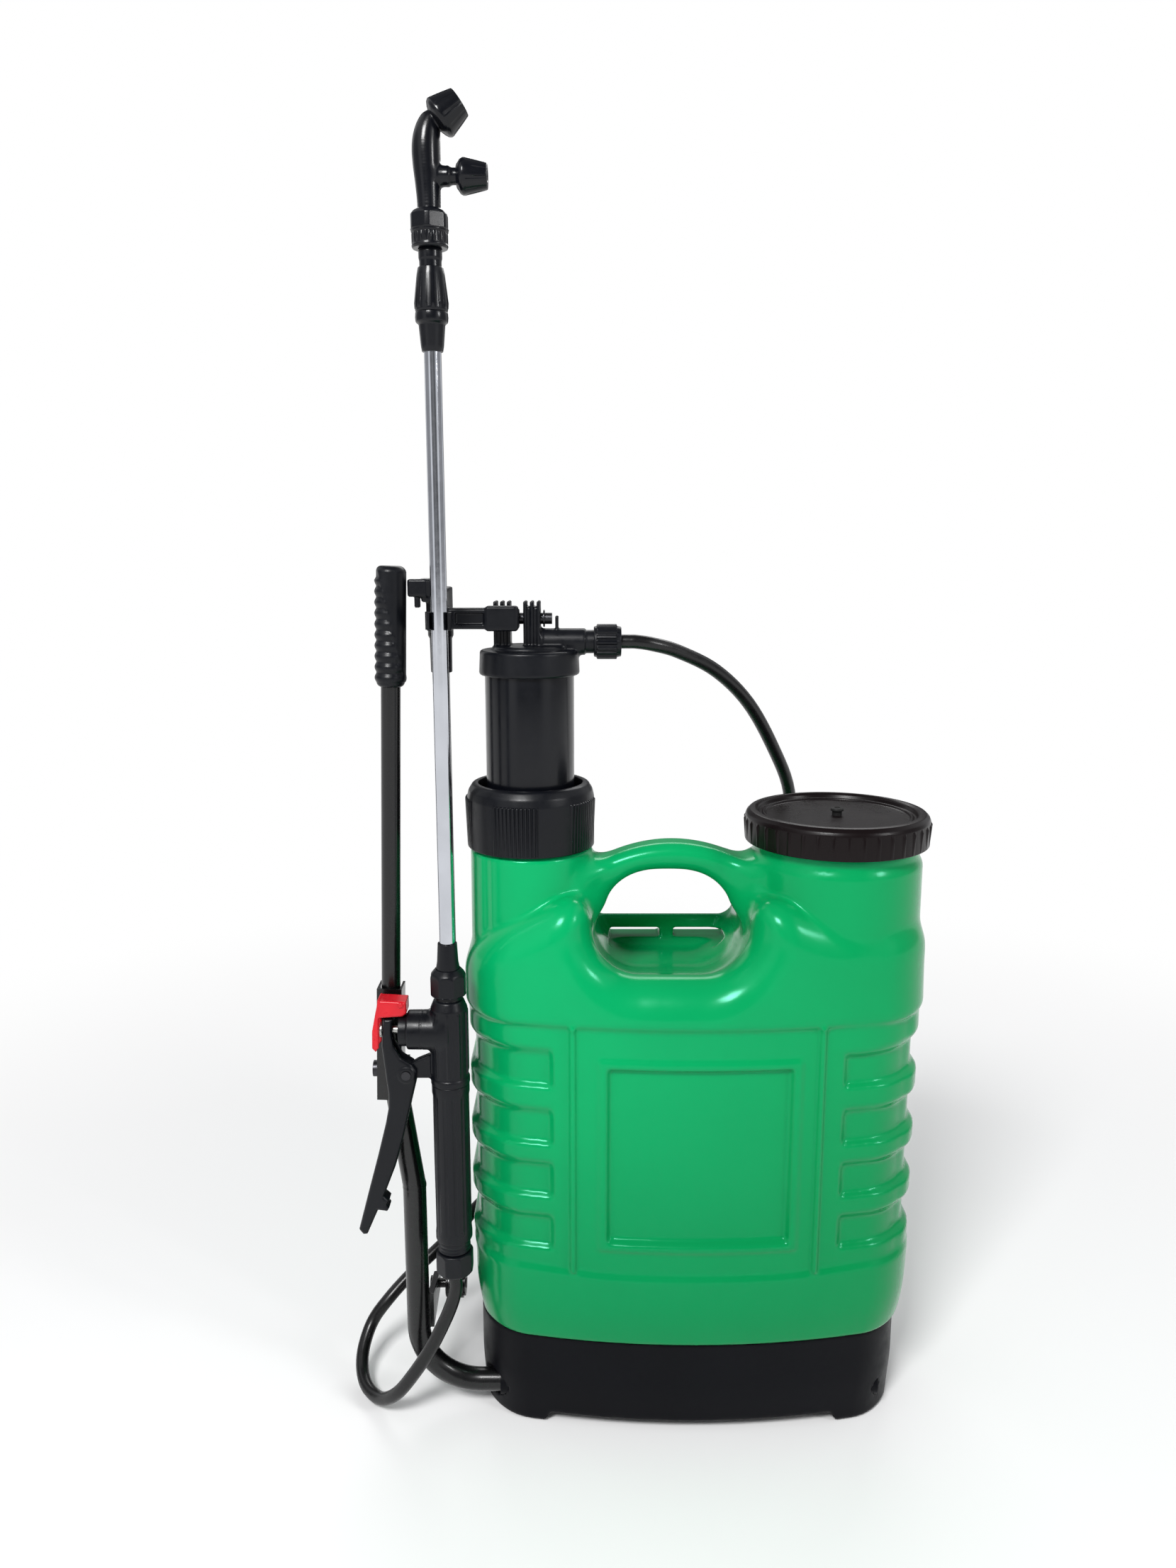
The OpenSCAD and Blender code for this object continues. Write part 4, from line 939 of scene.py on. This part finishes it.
def stage_material(name, strength, far_from=None, far_to=None):
    """White: lit paper near the object, easing into plain bright white far from it."""
    made = bpy.data.materials.new(name)
    made.use_nodes = True
    nodes, links = made.node_tree.nodes, made.node_tree.links
    paper = nodes["Principled BSDF"]
    paper.inputs["Base Color"].default_value = (0.9, 0.9, 0.9, 1)
    paper.inputs["Roughness"].default_value = 0.9
    paper.inputs["Specular IOR Level"].default_value = 0.1
    glow = nodes.new("ShaderNodeEmission")
    glow.inputs["Color"].default_value = (1, 1, 1, 1)
    glow.inputs["Strength"].default_value = strength
    output = nodes["Material Output"]
    if far_from is None:
        links.new(glow.outputs["Emission"], output.inputs["Surface"])
        return made
    place = nodes.new("ShaderNodeTexCoord")
    reach = nodes.new("ShaderNodeVectorMath")
    reach.operation = "LENGTH"
    links.new(place.outputs["Object"], reach.inputs[0])
    fade = nodes.new("ShaderNodeMapRange")
    fade.interpolation_type = "SMOOTHSTEP"
    fade.inputs["From Min"].default_value, fade.inputs["From Max"].default_value = far_from, far_to
    links.new(reach.outputs["Value"], fade.inputs["Value"])
    mix = nodes.new("ShaderNodeMixShader")
    links.new(fade.outputs["Result"], mix.inputs["Fac"])
    links.new(paper.outputs["BSDF"], mix.inputs[1])
    links.new(glow.outputs["Emission"], mix.inputs[2])
    links.new(mix.outputs["Shader"], output.inputs["Surface"])
    return made


def make_stage():
    """A floor that eases into a white room. The room lights nothing."""
    mesh = bpy.data.meshes.new("floor")
    mesh.from_pydata([(-12, -12, 0), (12, -12, 0), (12, 12, 0), (-12, 12, 0)], [], [(0, 1, 2, 3)])
    mesh.materials.append(stage_material("floor", 1.0, 0.35, 1.5))
    floor = bpy.data.objects.new("floor", mesh)
    room_mesh = bpy.data.meshes.new("room")
    shaper = bmesh.new()
    bmesh.ops.create_uvsphere(shaper, u_segments=48, v_segments=24, radius=10)
    shaper.to_mesh(room_mesh)
    shaper.free()
    room_mesh.materials.append(stage_material("room", 1.0))
    room = bpy.data.objects.new("room", room_mesh)
    room.visible_diffuse = room.visible_glossy = room.visible_shadow = False
    for staged in (floor, room):
        bpy.context.scene.collection.objects.link(staged)
        staged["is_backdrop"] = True


def softbox(name, place, aim, size, power):
    data = bpy.data.lights.new(name, "AREA")
    data.shape = "RECTANGLE"
    data.size, data.size_y = size
    data.energy = power
    lamp = bpy.data.objects.new(name, data)
    lamp.location = place
    lamp.rotation_euler = (Vector(aim) - Vector(place)).to_track_quat("-Z", "Y").to_euler()
    bpy.context.scene.collection.objects.link(lamp)


def light_room(world):
    """A dim room with two paler walls, left and right of the object."""
    nodes, links = world.node_tree.nodes, world.node_tree.links
    place = nodes.new("ShaderNodeTexCoord")
    split = nodes.new("ShaderNodeSeparateXYZ")
    links.new(place.outputs["Generated"], split.inputs["Vector"])
    across = nodes.new("ShaderNodeMapRange")
    across.inputs["From Min"].default_value = -1
    links.new(split.outputs["X"], across.inputs["Value"])
    ramp = nodes.new("ShaderNodeValToRGB")
    stops = ramp.color_ramp.elements
    stops[0].color = stops[1].color = (0.35, 0.35, 0.36, 1)
    for at, shade in ((0.06, 0.35), (0.12, 1.0), (0.2, 0.9), (0.28, 0.14), (0.5, 0.24), (0.74, 0.1),
                      (0.83, 0.8), (0.9, 0.8), (0.95, 0.3)):
        stops.new(at).color = (shade * 0.97, shade * 0.98, shade, 1)
    links.new(across.outputs["Result"], ramp.inputs["Fac"])
    links.new(ramp.outputs["Color"], nodes["Background"].inputs["Color"])


make_stage()
softbox("key", (-0.75, -1.75, 2.1), (-0.03, 0, 0.3), (0.7, 0.6), 58)
softbox("fill", (1.7, -1.2, 1.5), (0, 0, 0.3), (0.35, 0.5), 12)
softbox("back", (0.2, 1.7, 1.9), (0, 0, 0.3), (1.8, 0.7), 15)
world = bpy.data.worlds.new("world")
bpy.context.scene.world = world
world.use_nodes = True
light_room(world)
bpy.context.scene.view_settings.view_transform = "Standard"

low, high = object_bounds()
